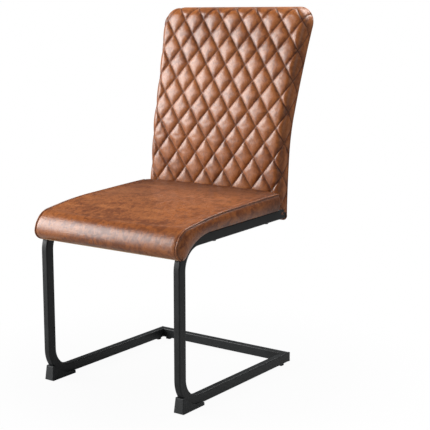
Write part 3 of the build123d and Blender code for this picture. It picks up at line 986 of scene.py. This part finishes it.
@dataclass
class BackCushion:
    """Quilted back: sewn front cover, rear panel, piping and stitches."""

    finishes: Finishes
    shape: BackShape
    cords: CordTree
    stitches: StitchTree
    pitch_across: float = 0.062
    pitch_along: float = 0.080
    row_at: float = 0.013
    across_at: float = 0.003
    cells_in_pitch: int = 28
    quilt_depth: float = 0.0058
    plumpness: float = 0.27
    rim_round: float = 0.021
    piping: float = 0.0035
    gather_pitch: float = 0.010
    gather_depth: float = 0.0014
    gather_height: float = 0.024
    gather_reach: float = 0.026
    cover_corner: float = 0.002
    fade_reach: float = 0.03
    rim_fade: float = 0.5
    crease_width: float = 0.022
    rim_painted_shade: float = 0.35
    panel_cell: float = 0.006
    panel_wall: float = 0.0022
    panel_rise: float = 0.0016
    panel_sink: float = 0.0012
    dome_reach: float = 0.03
    thread: float = 0.0006
    stitch_pitch: float = 0.0058
    stitch_stretch: float = 3.4
    stuffing: Stuffing = Stuffing(pressure=2.5, slack=0.005, cap=0.0016, bending=0.8, evenings=2)

    def quilt(self, places: np.ndarray) -> tuple[np.ndarray, np.ndarray]:
        """Coordinates of the diamonds: whole numbers are sewn lines.

        Args:
            places: Points of the flat pattern.

        Returns:
            Counts across the two ways of sewn lines.
        """
        across = (places[:, 0] - self.across_at) / self.pitch_across
        along = (places[:, 1] - self.row_at) / self.pitch_along
        return along - across, along + across

    def line_width(self) -> float:
        """Distance in counts within which a point lies on a sewn line."""
        return 0.25 / self.cells_in_pitch

    def pillow(self, places: np.ndarray) -> np.ndarray:
        """Height of the padding, from 0 on a sewn line to 1 in the middle of a diamond."""
        down, up = self.quilt(places)
        swell = np.abs(np.sin(math.pi * down)) * np.abs(np.sin(math.pi * up))
        return swell**self.plumpness

    def build(self) -> None:
        """Builds and dresses every piece of the back."""
        rim_depth = self.shape.thickness - self.piping
        self.wrap = self.rim_round * (math.pi / 2 - 1) + rim_depth
        sheet = self.cut_cover()
        cover = self.make_cover(sheet)
        self.make_piping()
        self.make_rear_panel()
        self.make_quilt_stitches(cover, sheet)

    def cut_cover(self) -> Sheet:
        """Cuts the flat pattern, with its cells along the sewn lines."""
        outline = self.shape.outline(self.rim_round, self.cover_corner)
        step_x = self.pitch_across / self.cells_in_pitch
        step_s = self.pitch_along / self.cells_in_pitch
        low = outline.points.min(axis=0) - self.wrap - 2 * step_s
        high = outline.points.max(axis=0) + self.wrap + 2 * step_s
        first = math.floor((low[0] - self.across_at) / step_x)
        last = math.ceil((high[0] - self.across_at) / step_x)
        columns = self.across_at + np.arange(first, last + 1) * step_x
        first = math.floor((low[1] - self.row_at) / step_s)
        last = math.ceil((high[1] - self.row_at) / step_s)
        rows = self.row_at + np.arange(first, last + 1) * step_s
        return outline.cut(columns, rows, self.wrap, self.pillow)

    def wrapped(self, sheet: Sheet) -> np.ndarray:
        """Wraps the flat pattern over the front edge to the rear piping.

        Args:
            sheet: The flat pattern.

        Returns:
            Its points on the back, before the padding swells.
        """
        over = np.maximum(sheet.reach, 0.0)
        turn = np.minimum(over / self.rim_round, math.pi / 2)
        straight = np.maximum(over - self.rim_round * math.pi / 2, 0.0)
        shift = self.rim_round * np.sin(turn)
        depth = self.rim_round * (1 - np.cos(turn)) + straight
        inside = (sheet.reach <= 0)[:, None]
        flat = np.where(inside, sheet.points, sheet.foot + sheet.out * shift[:, None])
        return self.shape.points(flat[:, 0], flat[:, 1], depth)

    def make_cover(self, sheet: Sheet) -> bpy.types.Object:
        """Makes the quilted cover, closed behind by its lining.

        Args:
            sheet: The flat pattern.

        Returns:
            The cover.
        """
        points = self.wrapped(sheet)
        normals = corner_normals(points, sheet.faces)
        swell = self.pillow(sheet.points)
        fade = 1 - self.rim_fade * eased(sheet.reach / self.fade_reach)
        sunk = self.quilt_depth * (1 - swell) * fade + self.gathers(sheet, points)
        points -= normals * sunk[:, None]
        loop = [int(index) for index in sheet.border]
        faces = np.concatenate([sheet.faces, self.lining(sheet, loop)])
        down, up = self.quilt(sheet.points)
        apart = np.minimum(np.abs(down - np.round(down)), np.abs(up - np.round(up)))
        sewn = np.flatnonzero(apart < self.line_width())
        rim = sheet.reach / self.rim_round
        # Darkening along the sewn lines: partly the dark sewn line itself, mostly painted shade in
        # the quilting valleys; round the wrapped rim it is painted shade.
        crease = np.exp(-((apart / self.crease_width) ** 2))
        crease = np.maximum(crease, self.rim_painted_shade * eased(rim))
        numbers = {"crease": crease, "rub": np.clip(swell, 0, 1)}
        cover = new_piece("back_quilted_cover", points, faces, self.finishes.leather, numbers)
        self.stuffing.fill(cover, np.union1d(sewn, sheet.border), 1 - eased(rim + 0.5))
        seat_on_chair(cover, Slot.COVER, "back_front_cover", "back_foam", "back_wadding")
        return cover

    def gathers(self, sheet: Sheet, points: np.ndarray) -> np.ndarray:
        """Small slanting folds where the cover is drawn in at the foot of each side.

        Args:
            sheet: The flat pattern.
            points: Its points on the back.

        Returns:
            How deep each point lies in a fold.
        """
        beside = eased((sheet.reach - 0.002) / 0.012) * eased((np.abs(sheet.out[:, 0]) - 0.6) / 0.3)
        from_foot = np.abs(points[:, 2] - self.shape.bottom - self.gather_height)
        near_foot = eased(1 - from_foot / self.gather_reach)
        slanted = sheet.points[:, 1] - 0.7 * sheet.reach
        wave = 0.5 - 0.5 * np.cos(2 * math.pi * slanted / self.gather_pitch)
        return self.gather_depth * wave**2 * beside * near_foot

    def lining(self, sheet: Sheet, loop: list[int]) -> np.ndarray:
        """Triangles across the rear, from the left border to the right one.

        Args:
            sheet: The flat pattern.
            loop: Its border in order.

        Returns:
            The triangles.
        """
        places = sheet.points[loop]
        middle = np.abs(places[:, 0])
        low = min(range(len(loop)), key=lambda at: (places[at, 1] > 0, middle[at]))
        high = min(range(len(loop)), key=lambda at: (places[at, 1] <= 0, middle[at]))
        turned = loop[low:] + loop[:low]
        split = (high - low) % len(loop)
        right = turned[: split + 1]
        left = [turned[0]] + turned[split:][::-1]
        return np.array(zip_chains(left, right, sheet.points[:, 1]))

    def make_piping(self) -> None:
        """Lays the piping round the rear edge."""
        outline = self.shape.outline(self.piping / 2, self.shape.bottom_corner)
        depth = self.shape.thickness - self.piping / 2
        line = self.shape.points(outline.points[::2, 0], outline.points[::2, 1], depth)
        leather = self.finishes.edge_leather
        sizes = {"Radius": self.piping / 2, "Sides": 12}
        piping = self.cords.lay("back_edge_piping", [line], True, leather, **sizes)
        seat_on_chair(piping, Slot.EDGE, "back_piping")

    def make_rear_panel(self) -> None:
        """Makes the plain rear panel, slightly domed inside the piping."""
        inset = self.piping * 0.9
        outline = self.shape.outline(inset, self.shape.bottom_corner - inset)
        low, high = outline.points.min(axis=0), outline.points.max(axis=0)
        step = self.panel_cell
        columns, rows = (
            np.arange(low[way] - step, high[way] + 2 * step, step) for way in range(2)
        )
        sheet = outline.cut(columns, rows, 0.0, lambda places: places[:, 0] * 0.0)
        from_edge = np.clip(-sheet.reach / self.dome_reach, 0, 1)
        dome = self.panel_rise * eased(from_edge) - self.panel_sink
        x, along = sheet.points.T
        outer = self.shape.points(x, along, self.shape.thickness + dome)
        inner = self.shape.points(x, along, self.shape.thickness - self.panel_wall)
        count = len(outer)
        edge = sheet.border
        ahead = np.roll(edge, -1)
        near = np.column_stack([edge, ahead, ahead + count])
        far = np.column_stack([edge, ahead + count, edge + count])
        faces = np.concatenate([sheet.faces[:, ::-1], sheet.faces + count, near, far])
        points = np.concatenate([outer, inner])
        rub = np.concatenate([from_edge, from_edge]) * 0.7
        numbers = {"crease": np.zeros(len(points)), "rub": rub}
        panel = new_piece("back_rear_panel", points, faces, self.finishes.leather, numbers)
        seat_on_chair(panel, Slot.COVER, "back_rear_cover")

    def make_quilt_stitches(self, cover: bpy.types.Object, sheet: Sheet) -> None:
        """Sews stitches down in every sewn line of the cover.

        Args:
            cover: The finished cover.
            sheet: Its flat pattern.
        """
        points = read_points(cover.data)[: len(sheet.points)]
        lines = []
        for counts in self.quilt(sheet.points):
            near = np.abs(counts - np.round(counts)) < self.line_width()
            for number in np.unique(np.round(counts[near])):
                row = np.flatnonzero(near & (np.round(counts) == number))
                row = row[np.argsort(sheet.points[row, 0])]
                row = row[sheet.reach[row] < self.rim_round]
                if len(row) > 3:
                    lines.append(points[row])
        sizes = {"Radius": self.thread, "Pitch": self.stitch_pitch, "Stretch": self.stitch_stretch}
        material = self.finishes.thread
        thread = self.stitches.lay("back_quilt_stitches", lines, False, material, **sizes)
        seat_on_chair(thread, Slot.EDGE)


@dataclass
class SeatShape:
    """Side view of the seat, in metres, and how it lies on the rails."""

    rail_rise: float = math.radians(1.3)
    tube_depth: float = 0.025
    boxing_height: float = 0.0395
    crown: float = 0.007
    nose_radius: float = 0.056
    nose_drop: float = 0.0125
    lip_tuck: float = math.radians(13)
    front_slope: float = math.radians(9)
    front_blend: float = 0.900
    sweep_back: float = 0.118
    lip_return: float = 0.018
    knee_reach: float = 0.077
    board_thickness: float = 0.009
    board_lift: float = 0.002
    rail_height: float = 0.386
    gap: float = 0.0003

    def __post_init__(self) -> None:
        """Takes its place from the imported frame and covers."""
        low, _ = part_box("seat_top_cover")
        panel_low, panel_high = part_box("left_seat_side_panel")
        tube_low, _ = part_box("left_side_tube")
        self.front_y = low.y
        self.lip_z = low.z
        self.leg_y = tube_low.y
        self.half = panel_high.x
        self.inner_half = panel_low.x
        self.rear_y = panel_high.y
        self.nose_y = self.front_y + self.nose_radius

    def rail_top(self, y: np.ndarray | float) -> np.ndarray | float:
        """Height of the seat rail's top face."""
        rise = (y - self.leg_y) * math.tan(self.rail_rise)
        return self.rail_height + rise + self.tube_depth / math.cos(self.rail_rise)

    def top_line(self, crown: float) -> np.ndarray:
        """Upper line of the seat, from the lip to the rear.

        Args:
            crown: Height of the crown there.

        Returns:
            Points of Y and Z, close together.
        """
        nose_z = self.rail_top(self.leg_y) + self.boxing_height - self.nose_drop - self.nose_radius
        turn = np.linspace(math.pi + self.lip_tuck, math.pi / 2 + self.front_slope, 160)
        radius = self.nose_radius
        nose = np.column_stack(
            [self.nose_y + radius * np.cos(turn), nose_z + radius * np.sin(turn)]
        )
        drop = nose[0, 1] - self.lip_z
        lip_y = nose[0, 0] + drop * math.tan(self.lip_tuck)
        lip = np.linspace((lip_y, self.lip_z), nose[0], 24)[:-1]
        level = self.boxing_height + crown
        start_y, start_z = nose[-1]
        climb = self.rail_top(start_y) + level - start_z
        knee_y = start_y + climb / (math.tan(self.front_slope) - math.tan(self.rail_rise))
        half_turn = (self.front_slope - self.rail_rise) / 2
        run = self.front_blend * math.tan(half_turn)
        turn = np.linspace(self.front_slope, self.rail_rise, 60)
        knee_z = self.rail_top(knee_y) + level
        blend_y = knee_y - run * math.cos(self.front_slope)
        blend_z = knee_z - run * math.sin(self.front_slope)
        centre_y = blend_y + self.front_blend * math.sin(self.front_slope)
        centre_z = blend_z - self.front_blend * math.cos(self.front_slope)
        blend = np.column_stack(
            [centre_y - self.front_blend * np.sin(turn), centre_z + self.front_blend * np.cos(turn)]
        )
        rear_z = self.rail_top(self.rear_y) + level
        return np.concatenate([lip, nose, blend, [[self.rear_y, rear_z]]])

    def lower_line(self) -> np.ndarray:
        """Lower line of the side panel, from under the lip to the rear."""
        start_y = self.leg_y + self.sweep_back
        start = np.array([start_y, self.rail_top(start_y)])
        end = np.array([self.leg_y + self.lip_return, self.lip_z])
        normal = np.array([math.sin(self.rail_rise), -math.cos(self.rail_rise)])
        chord = end - start
        radius = chord @ chord / (2 * (chord @ normal))
        centre = start + normal * radius
        first = math.atan2(*(end - centre)[::-1])
        last = math.atan2(*(start - centre)[::-1])
        turn = np.linspace(first % (2 * math.pi), last % (2 * math.pi), 80)
        arc = centre + radius * np.column_stack([np.cos(turn), np.sin(turn)])
        return np.concatenate([arc, [[self.rear_y, self.rail_top(self.rear_y)]]])

    def board_line(self) -> np.ndarray:
        """Top of the seat board, from under the lip to the rear."""
        off = self.board_thickness + 2 * self.gap
        centre_y = self.leg_y + self.knee_reach
        centre_z = self.rail_top(centre_y) - self.knee_reach / math.cos(self.rail_rise)
        radius = self.knee_reach + off
        low = math.asin((self.lip_z + self.board_lift - centre_z) / radius)
        turn = np.linspace(math.pi - low, math.pi / 2 + self.rail_rise, 60)
        arc = np.column_stack([centre_y + radius * np.cos(turn), centre_z + radius * np.sin(turn)])
        return np.concatenate([arc, [[self.rear_y, self.rail_top(self.rear_y) + off]]])


def run_lengths(line: np.ndarray) -> np.ndarray:
    """Length of a line up to each of its points."""
    steps = np.linalg.norm(np.diff(line, axis=0), axis=1)
    return np.concatenate([[0.0], np.cumsum(steps)])


def spread(line: np.ndarray, shares: np.ndarray, start: float, end: float) -> np.ndarray:
    """Points at shares of a line's length.

    Args:
        line: Points of the line.
        shares: Shares from 0 to 1 of the stretch that is used.
        start: Share of the line where that stretch starts.
        end: Share of the line where it ends.

    Returns:
        One point for each share.
    """
    length = run_lengths(line)
    at = (start + (end - start) * shares) * length[-1]
    return np.column_stack([np.interp(at, length, places) for places in line.T])


def share_at(line: np.ndarray, y: float) -> float:
    """Share of a line's length at which its last stretch passes a Y."""
    length = run_lengths(line)
    last = int(line[:, 0].argmin())
    return float(np.interp(y, line[last:, 0], length[last:]) / length[-1])


@dataclass
class SeatCushion:
    """Waterfall seat: one crowned form of top and boxing, with welts and stitches at its seams."""

    finishes: Finishes
    shape: SeatShape
    cords: CordTree
    stitches: StitchTree
    cell: float = 0.0045
    columns: int = 92
    boxing_rows: int = 9
    welt: float = 0.0019
    puff: float = 0.0055
    fullness: float = 5.0
    rear_corner: float = 0.009
    rear_round: float = 0.010
    rear_lift: float = 0.005
    hem_round: float = 0.007
    lip_round: float = 0.027
    seam_reach: float = 0.0045
    seam_dip: float = 0.0022
    rim_reach: float = 0.004
    rim_dip: float = 0.0012
    board_gap: float = 0.0006
    rear_shade: float = 0.70
    shade_reach: float = 0.20
    thread: float = 0.00045
    stitch_drop: float = 0.0012
    stitch_pitch: float = 0.0058
    stitch_stretch: float = 4.4
    stuffing: Stuffing = Stuffing(pressure=1.5, slack=0.0, cap=0.004, bending=20.0)

    def build(self) -> None:
        """Builds and dresses the seat."""
        self.set_stations()
        cushion = self.make_cushion()
        self.make_welts()
        self.make_stitches()

    def set_stations(self) -> None:
        """Spaces the stations along the seam, the lower line and the board."""
        shape = self.shape
        sweep_y = shape.leg_y + shape.sweep_back
        seam, crowned = shape.top_line(0.0), shape.top_line(shape.crown)
        lower, board = shape.lower_line(), shape.board_line()
        front_length = share_at(seam, sweep_y) * np.linalg.norm(np.diff(seam, axis=0), axis=1).sum()
        front = self.steps(front_length, self.hem_round)
        rear = 1 - self.steps(shape.rear_y - sweep_y, self.rear_round)[::-1]
        self.lines = []
        for line in (seam, crowned, lower, board):
            split = share_at(line, sweep_y)
            halves = [spread(line, front, 0, split), spread(line, rear[1:], split, 1)]
            self.lines.append(np.concatenate(halves))
        for line in self.lines[:2]:
            line[:, 1] += self.rear_lift * eased((line[:, 0] - sweep_y) / (shape.rear_y - sweep_y))
            past = np.clip((line[:, 0] - shape.rear_y) / self.rear_round + 1, 0, 1)
            line[:, 1] -= self.rear_round * (1 - np.sqrt(1 - past**2))

    def steps(self, length: float, fine: float) -> np.ndarray:
        """Shares of a length, close together along a fine stretch at its start.

        Args:
            length: The whole length.
            fine: Length of the fine stretch.

        Returns:
            Shares from 0 to 1.
        """
        close = fine * (1 - np.cos(np.linspace(0, math.pi / 2, 7)[:-1]))
        plain = np.linspace(fine, length, round((length - fine) / self.cell) + 1)
        return np.concatenate([close, plain]) / length

    def tuck(self, points: np.ndarray) -> np.ndarray:
        """Rounds the lower edge of the lip, in from the front and from both sides.

        Args:
            points: Points of the cover, of a welt or of a seam.

        Returns:
            The points, drawn in near the hem.
        """
        shape = self.shape
        rounds = (self.lip_round, self.hem_round)
        back, inward = (self.drawn_in(points[:, 2], radius) for radius in rounds)
        at_front = points[:, 1] < shape.leg_y
        at_side = np.abs(points[:, 0]) > shape.inner_half
        drawn = points.copy()
        drawn[:, 1] += np.where(at_front, back, 0)
        drawn[:, 0] -= np.where(at_side, np.sign(points[:, 0]) * inward, 0)
        return drawn

    def drawn_in(self, z: np.ndarray, radius: float) -> np.ndarray:
        """How far a hem of a given radius is drawn in at a height."""
        low = np.clip(1 - (z - self.shape.lip_z) / radius, 0, 1)
        return radius * (1 - np.sqrt(1 - low**2))

    def half_width(self, y: np.ndarray | float) -> np.ndarray:
        """Half of the seat's width, rounded in at its rear corners."""
        past = np.clip(y - (self.shape.rear_y - self.rear_corner), 0, self.rear_corner)
        return self.shape.half - self.rear_corner + np.sqrt(self.rear_corner**2 - past**2)

    def make_cushion(self) -> bpy.types.Object:
        """Makes the closed cushion from rings round its stations."""
        rings, crease = zip(*(self.ring(*station) for station in zip(*self.lines)))
        count = len(rings[0])
        points = self.tuck(np.concatenate(rings))
        faces: list[tuple[int, ...]] = []
        for station in range(len(rings) - 1):
            for place in range(count):
                following = (place + 1) % count
                near, far = station * count, (station + 1) * count
                faces.append((near + place, far + place, far + following, near + following))
        faces.append(tuple(range(count)))
        faces.append(tuple(range(len(points) - 1, len(points) - count - 1, -1)))
        # Painted shade: the rear of the seat is darkened where the back shades it, together with
        # the painted seam shade.
        from_rear = self.shape.rear_y - points[:, 1]
        shade = self.rear_shade * eased(1 - from_rear / self.shade_reach)
        marks = np.maximum(np.concatenate(crease), shade)
        numbers = {"crease": marks, "rub": np.zeros(len(points))}
        cushion = new_piece("seat_cushion", points, faces, self.finishes.leather, numbers)
        self.stuffing.fill(cushion, self.held(len(rings), count), np.ones(len(points)))
        smooth = cushion.modifiers.new("smooth", "SUBSURF")
        smooth.levels = 1
        smooth.render_levels = 1
        nodes = ("seat_top_cover", "seat_foam", "left_seat_side_panel", "right_seat_side_panel")
        seat_on_chair(cushion, Slot.COVER, *nodes)
        return cushion

    def ring(
        self, seam: np.ndarray, crowned: np.ndarray, lower: np.ndarray, board: np.ndarray
    ) -> tuple[np.ndarray, np.ndarray]:
        """One ring round the seat: top, left boxing, underside and right boxing.

        Args:
            seam: Y and Z of the seam.
            crowned: Y and Z of the crown's middle.
            lower: Y and Z of the boxing's lower edge.
            board: Y and Z of the board's top.

        Returns:
            The ring's points, and how near each lies to a seam, which darkens it as painted shade.
        """
        share = np.linspace(-1, 1, self.columns + 1)
        down = np.linspace(0, 1, self.boxing_rows + 1)
        half = float(self.half_width(seam[0]))
        inner = half - (self.shape.half - self.shape.inner_half)
        seam_x = half - self.welt
        dip = np.exp(-(((1 - np.abs(share)) * half / self.seam_reach) ** 2))
        towards = (lower - seam) / np.linalg.norm(lower - seam)
        full = 1 - np.abs(share) ** self.fullness
        sunk = towards * (self.seam_dip * dip)[:, None]
        across = seam + (crowned - seam) * full[:, None] + sunk
        top = np.column_stack([share * seam_x, across])
        sunk = towards * (self.seam_dip * (1 - down))[:, None]
        side = seam + (lower - seam) * down[:, None] + sunk
        swell = np.sin(math.pi * down) ** 0.7 * self.puff
        rim = np.exp(-((down * np.linalg.norm(lower - seam) / self.rim_reach) ** 2))
        x = seam_x + self.welt * 0.4 + swell - rim * self.rim_dip
        left = np.column_stack([x, side])[1:]
        right = left * (-1, 1, 1)
        edge = inner + self.board_gap
        half_under = np.array(
            [[edge, *lower], [edge, *board], [inner * 0.5, *board], [0.0, *board]]
        )
        under = np.concatenate([half_under, half_under[-2::-1] * (-1, 1, 1)])
        points = np.concatenate([top, left, under, right[::-1]])
        # Nearness to the seams: sinks the cover there and is laid on the leather as painted shade.
        marks = np.concatenate([dip, rim[1:], np.zeros(len(under)), rim[1:][::-1]])
        return points, marks

    def held(self, rings: int, count: int) -> np.ndarray:
        """Vertices that the seams, the hem, the board and the rear hold still.

        Args:
            rings: Number of rings.
            count: Vertices in a ring.

        Returns:
            Their indices.
        """
        end = self.columns
        under = range(end + self.boxing_rows, count - self.boxing_rows + 1)
        places = [0, 1, end - 1, end, end + 1, *under, count - 1]
        every = np.arange(rings)[:, None] * count + np.array(places)[None, :]
        ends = [np.arange(count), np.arange(count) + (rings - 1) * count]
        return np.unique(np.concatenate([every.ravel(), *ends]))

    def seam_line(self, side: Side, out: float, drop: float) -> np.ndarray:
        """Line beside the seam.

        Args:
            side: Side of the seat.
            out: How far inside the widest place of the boxing it runs.
            drop: How far below the top line it runs.

        Returns:
            Its points.
        """
        seam, lower = self.lines[0], self.lines[2]
        towards = lower - seam
        towards /= np.linalg.norm(towards, axis=1, keepdims=True)
        line = seam + towards * drop
        x = side.value * (self.half_width(seam[:, 0]) - out)
        return self.tuck(np.column_stack([x, line]))

    def make_welts(self) -> None:
        """Lays a welt along each seam."""
        for side in Side:
            name = side.name.lower()
            line = self.seam_line(side, self.welt, self.welt * 0.75)
            leather = self.finishes.edge_leather
            sizes = {"Radius": self.welt, "Sides": 10}
            welt = self.cords.lay(f"{name}_seat_edge_welt", [line], False, leather, **sizes)
            seat_on_chair(welt, Slot.EDGE, f"{name}_seat_welt")

    def make_stitches(self) -> None:
        """Sews a row of stitches beside each welt."""
        lines = [self.seam_line(side, self.welt * 3.4, self.stitch_drop) for side in Side]
        sizes = {"Radius": self.thread, "Pitch": self.stitch_pitch, "Stretch": self.stitch_stretch}
        material = self.finishes.thread
        thread = self.stitches.lay("seat_seam_stitches", lines, False, material, **sizes)
        seat_on_chair(thread, Slot.EDGE)


@dataclass
class SeatBase:
    """What shows under the seat: ply board, bolts and the stapled dust cover."""

    finishes: Finishes
    stitches: StitchTree
    sag: float = 0.0022
    cell: float = 0.006
    wall: float = 0.0005
    flat_edge: float = 0.05
    clearance: float = 0.0008
    staple_inset: float = 0.010
    staple_radius: float = 0.0006
    staple_pitch: float = 0.032

    def build(self) -> None:
        """Dresses the boards and fasteners and makes the dust cover."""
        dress(("seat_board", "back_board"), self.finishes.ply)
        dress(("seat_bolts",), self.finishes.steel)
        dress(("seat_tee_nuts", "back_screws"), self.finishes.zinc)
        self.make_dust_cover()

    def make_dust_cover(self) -> None:
        """Makes the dust cover as a stretched sheet that sags between the cross bars."""
        low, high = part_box("seat_dust_cover")
        wide, long = high.x - low.x, high.y - low.y
        across = np.linspace(low.x, high.x, round(wide / self.cell) + 1)
        along = np.linspace(low.y, high.y, round(long / self.cell) + 1)
        x, y = (grid.ravel() for grid in np.meshgrid(across, along))
        front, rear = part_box("front_cross_bar")[1].y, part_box("rear_cross_bar")[0].y
        bay = np.clip((y - front) / (rear - front), 0, 1)
        edge = np.clip((high.x - np.abs(x)) / self.flat_edge, 0, 1)
        hang = self.sag * np.sin(math.pi * bay) ** 2 * eased(edge)
        rise = (y - low.y) / long * (high.z - low.z - self.clearance)
        z = low.z + self.wall + rise - hang
        width = len(across)
        start = (np.arange(len(along) - 1)[:, None] * width + np.arange(width - 1)[None, :]).ravel()
        faces = np.column_stack([start, start + width, start + width + 1, start + 1])
        cloth = new_piece("seat_dust_cloth", np.column_stack([x, y, z]), faces, self.finishes.cloth)
        wall = cloth.modifiers.new("wall", "SOLIDIFY")
        wall.thickness = self.wall
        wall.offset = -1.0
        seat_on_chair(cloth, Slot.CLOTH, "seat_dust_cover")
        self.make_staples(low, high)

    def make_staples(self, low: Vector, high: Vector) -> None:
        """Drives staples along the dust cover's front and rear edges.

        Args:
            low: Lowest corner of the dust cover.
            high: Highest corner of it.
        """
        inset = self.staple_inset
        lines = []
        for y, z in ((low.y + inset, low.z + 0.0004), (high.y - inset, high.z - self.clearance)):
            x = np.linspace(low.x + inset, high.x - inset, 60)
            lines.append(np.column_stack([x, np.full_like(x, y), np.full_like(x, z)]))
        sizes = {"Radius": self.staple_radius, "Pitch": self.staple_pitch, "Stretch": 8.0}
        zinc = self.finishes.zinc
        staples = self.stitches.lay("seat_dust_cloth_staples", lines, False, zinc, **sizes)
        seat_on_chair(staples, Slot.ZINC)


def dress(nodes: tuple[str, ...], material: bpy.types.Material) -> None:
    """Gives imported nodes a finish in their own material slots."""
    for name in nodes:
        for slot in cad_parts[name].material_slots:
            slot.material = material
        log.info("%s: dressed in %s", name, material.name)


@dataclass
class SteelFrame:
    """Bent tubes, bars and feet, with weld beads along the rear mitres."""

    finishes: Finishes
    cords: CordTree
    tube_width: float = 0.018
    corner: float = 0.003
    bead: float = 0.0007

    def build(self) -> None:
        """Dresses the tubes and feet and lays the weld beads."""
        sides = [side.name.lower() for side in Side]
        tubes = [f"{side}_{part}" for side in sides for part in ("side_tube", "back_upright")]
        places = ("rear_floor", "front_cross", "rear_cross", "back_top", "back_lower")
        bars = [f"{place}_bar" for place in places]
        dress((*tubes, *bars), self.finishes.steel)
        places = ("front", "rear", "floor_bar")
        glides = [f"{place}_{side}_glide" for place in places for side in sides]
        dress(tuple(glides), self.finishes.plastic)
        self.make_beads()

    def make_beads(self) -> None:
        """Lays a thin bead round the mitre at each rear corner."""
        low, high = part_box("rear_floor_bar")
        corner = self.corner
        lines = []
        for side in Side:
            outer = np.array([side.value * high.x, high.y])
            inward = np.array([-side.value, -1.0]) * self.tube_width
            turn = np.linspace(0, math.pi / 2, 7)
            round_in = corner * (1 - np.cos(turn)) / self.tube_width
            round_up = corner * (1 - np.sin(turn))
            shares = np.concatenate([round_in[::-1], 1 - round_in])
            drops = np.concatenate([round_up[::-1], round_up])
            heights = np.concatenate([high.z - drops, (low.z + drops)[::-1]])
            places = np.concatenate([shares, shares[::-1]])
            flat = outer + places[:, None] * inward
            lines.append(np.column_stack([flat, heights]))
        sizes = {"Radius": self.bead, "Sides": 6}
        beads = self.cords.lay("floor_bar_weld_beads", lines, True, self.finishes.steel, **sizes)
        seat_on_chair(beads, Slot.STEEL)


@dataclass(frozen=True)
class Lamp:
    """A soft box: its place and size in metres, and its power in watts."""

    name: str
    place: tuple[float, float, float]
    size: tuple[float, float]
    power: float


@dataclass
class Studio:
    """White floor, soft light from the upper left and the camera of the photograph."""

    eye: tuple[float, float, float] = (1.6791, -2.181, 0.9072)
    turn: float = 35.568
    tilt: float = -10.296
    lens: float = 91.69
    white: Colour = (1, 1, 1, 1)
    floor_grey: Colour = (0.4, 0.4, 0.4, 1)
    floor_reach: float = 14.0
    floor_shine: float = 0.15
    floor_glow: float = 0.955
    world_shine: float = 0.08
    world_light: float = 0.07
    lamps: tuple[Lamp, ...] = (
        Lamp("key", (-2.3, -1.5, 1.6), (1.8, 1.6), 118.0),
        Lamp("fill", (2.4, -0.8, 1.6), (1.2, 1.2), 8.0),
        Lamp("top", (0.45, 1.1, 2.35), (1.6, 1.6), 62.0),
        Lamp("low", (-1.9, -2.5, 0.35), (1.5, 0.6), 7.0),
    )

    def build(self) -> None:
        """Sets floor, world, lamps and camera."""
        bpy.context.scene.view_settings.view_transform = "Standard"
        self.make_floor()
        self.make_world()
        for lamp in self.lamps:
            self.make_lamp(lamp)
        self.make_camera()

    def shown(self, tree: bpy.types.NodeTree, shine: float) -> Value:
        """How much of the white background a ray sees: all, or a share of it in gloss."""
        rays = add_node(tree, "ShaderNodeLightPath").outputs
        seen = Value(tree, rays["Is Camera Ray"]) + Value(tree, rays["Is Glossy Ray"]) * shine
        return seen + Value(tree, rays["Is Transmission Ray"])

    def make_floor(self) -> None:
        """Makes a white floor that keeps a faint shadow."""
        paint = Paint("studio_white")
        paint.set(Base_Color=self.floor_grey, Roughness=0.9, Specular_IOR_Level=0.0)
        shown = self.shown(paint.tree, self.floor_shine)
        glow = paint.add("ShaderNodeEmission", inputs={"Color": self.white, "Strength": 1.0})
        apart = paint.add("ShaderNodeVectorMath", {"operation": "LENGTH"}, {0: paint.place()})
        far = Value(paint.tree, apart.outputs["Value"]).between(0.25, 0.75)
        share = shown * (self.floor_glow + far * (1 - self.floor_glow))
        inputs = {0: share, 1: paint.shader.outputs[0], 2: glow.outputs[0]}
        mix = paint.add("ShaderNodeMixShader", inputs=inputs)
        feed(paint.tree, paint.output.inputs["Surface"], mix.outputs[0])
        corners = np.array([(-1, -1, 0), (1, -1, 0), (1, 1, 0), (-1, 1, 0)]) * self.floor_reach
        floor = new_piece("studio_floor", corners, [(0, 1, 2, 3)], paint.material)

    def make_world(self) -> None:
        """Makes a world that looks white and lights the chair softly."""
        world = bpy.data.worlds.new("studio")
        world.use_nodes = True
        bpy.context.scene.world = world
        tree = world.node_tree
        tree.nodes.clear()
        strength = self.shown(tree, self.world_shine) * (1 - self.world_light) + self.world_light
        inputs = {"Color": self.white, "Strength": strength}
        back = add_node(tree, "ShaderNodeBackground", inputs=inputs)
        add_node(tree, "ShaderNodeOutputWorld", inputs={"Surface": back.outputs[0]})

    def make_lamp(self, lamp: Lamp) -> None:
        """Makes a soft box that points at the chair."""
        light = bpy.data.lights.new(f"{lamp.name}_light", "AREA")
        light.shape = "RECTANGLE"
        light.size, light.size_y = lamp.size
        light.energy = lamp.power
        holder = bpy.data.objects.new(f"{lamp.name}_light", light)
        bpy.context.scene.collection.objects.link(holder)
        middle = (cad_box[0] + cad_box[1]) / 2
        holder.location = lamp.place
        holder.rotation_euler = (middle - holder.location).to_track_quat("-Z", "Y").to_euler()

    def make_camera(self) -> None:
        """Stands the camera where the photograph was taken from."""
        camera = bpy.data.objects.new("camera", bpy.data.cameras.new("camera"))
        bpy.context.scene.collection.objects.link(camera)
        camera.location = self.eye
        camera.rotation_euler = (math.radians(90 + self.tilt), 0, math.radians(self.turn))
        camera.data.lens = self.lens
        camera.data.sensor_width = 36.0
        bpy.context.scene.camera = camera


def main() -> None:
    """Builds the chair's pieces in order, then the studio."""
    logging.basicConfig(level=logging.INFO, format="%(name)s: %(message)s")
    finishes = Finishes()
    cords = CordTree()
    stitches = StitchTree()
    SteelFrame(finishes, cords).build()
    SeatBase(finishes, stitches).build()
    SeatCushion(finishes, SeatShape(), cords, stitches).build()
    BackCushion(finishes, BackShape(), cords, stitches).build()
    Studio().build()


if __name__ == "__main__":
    main()
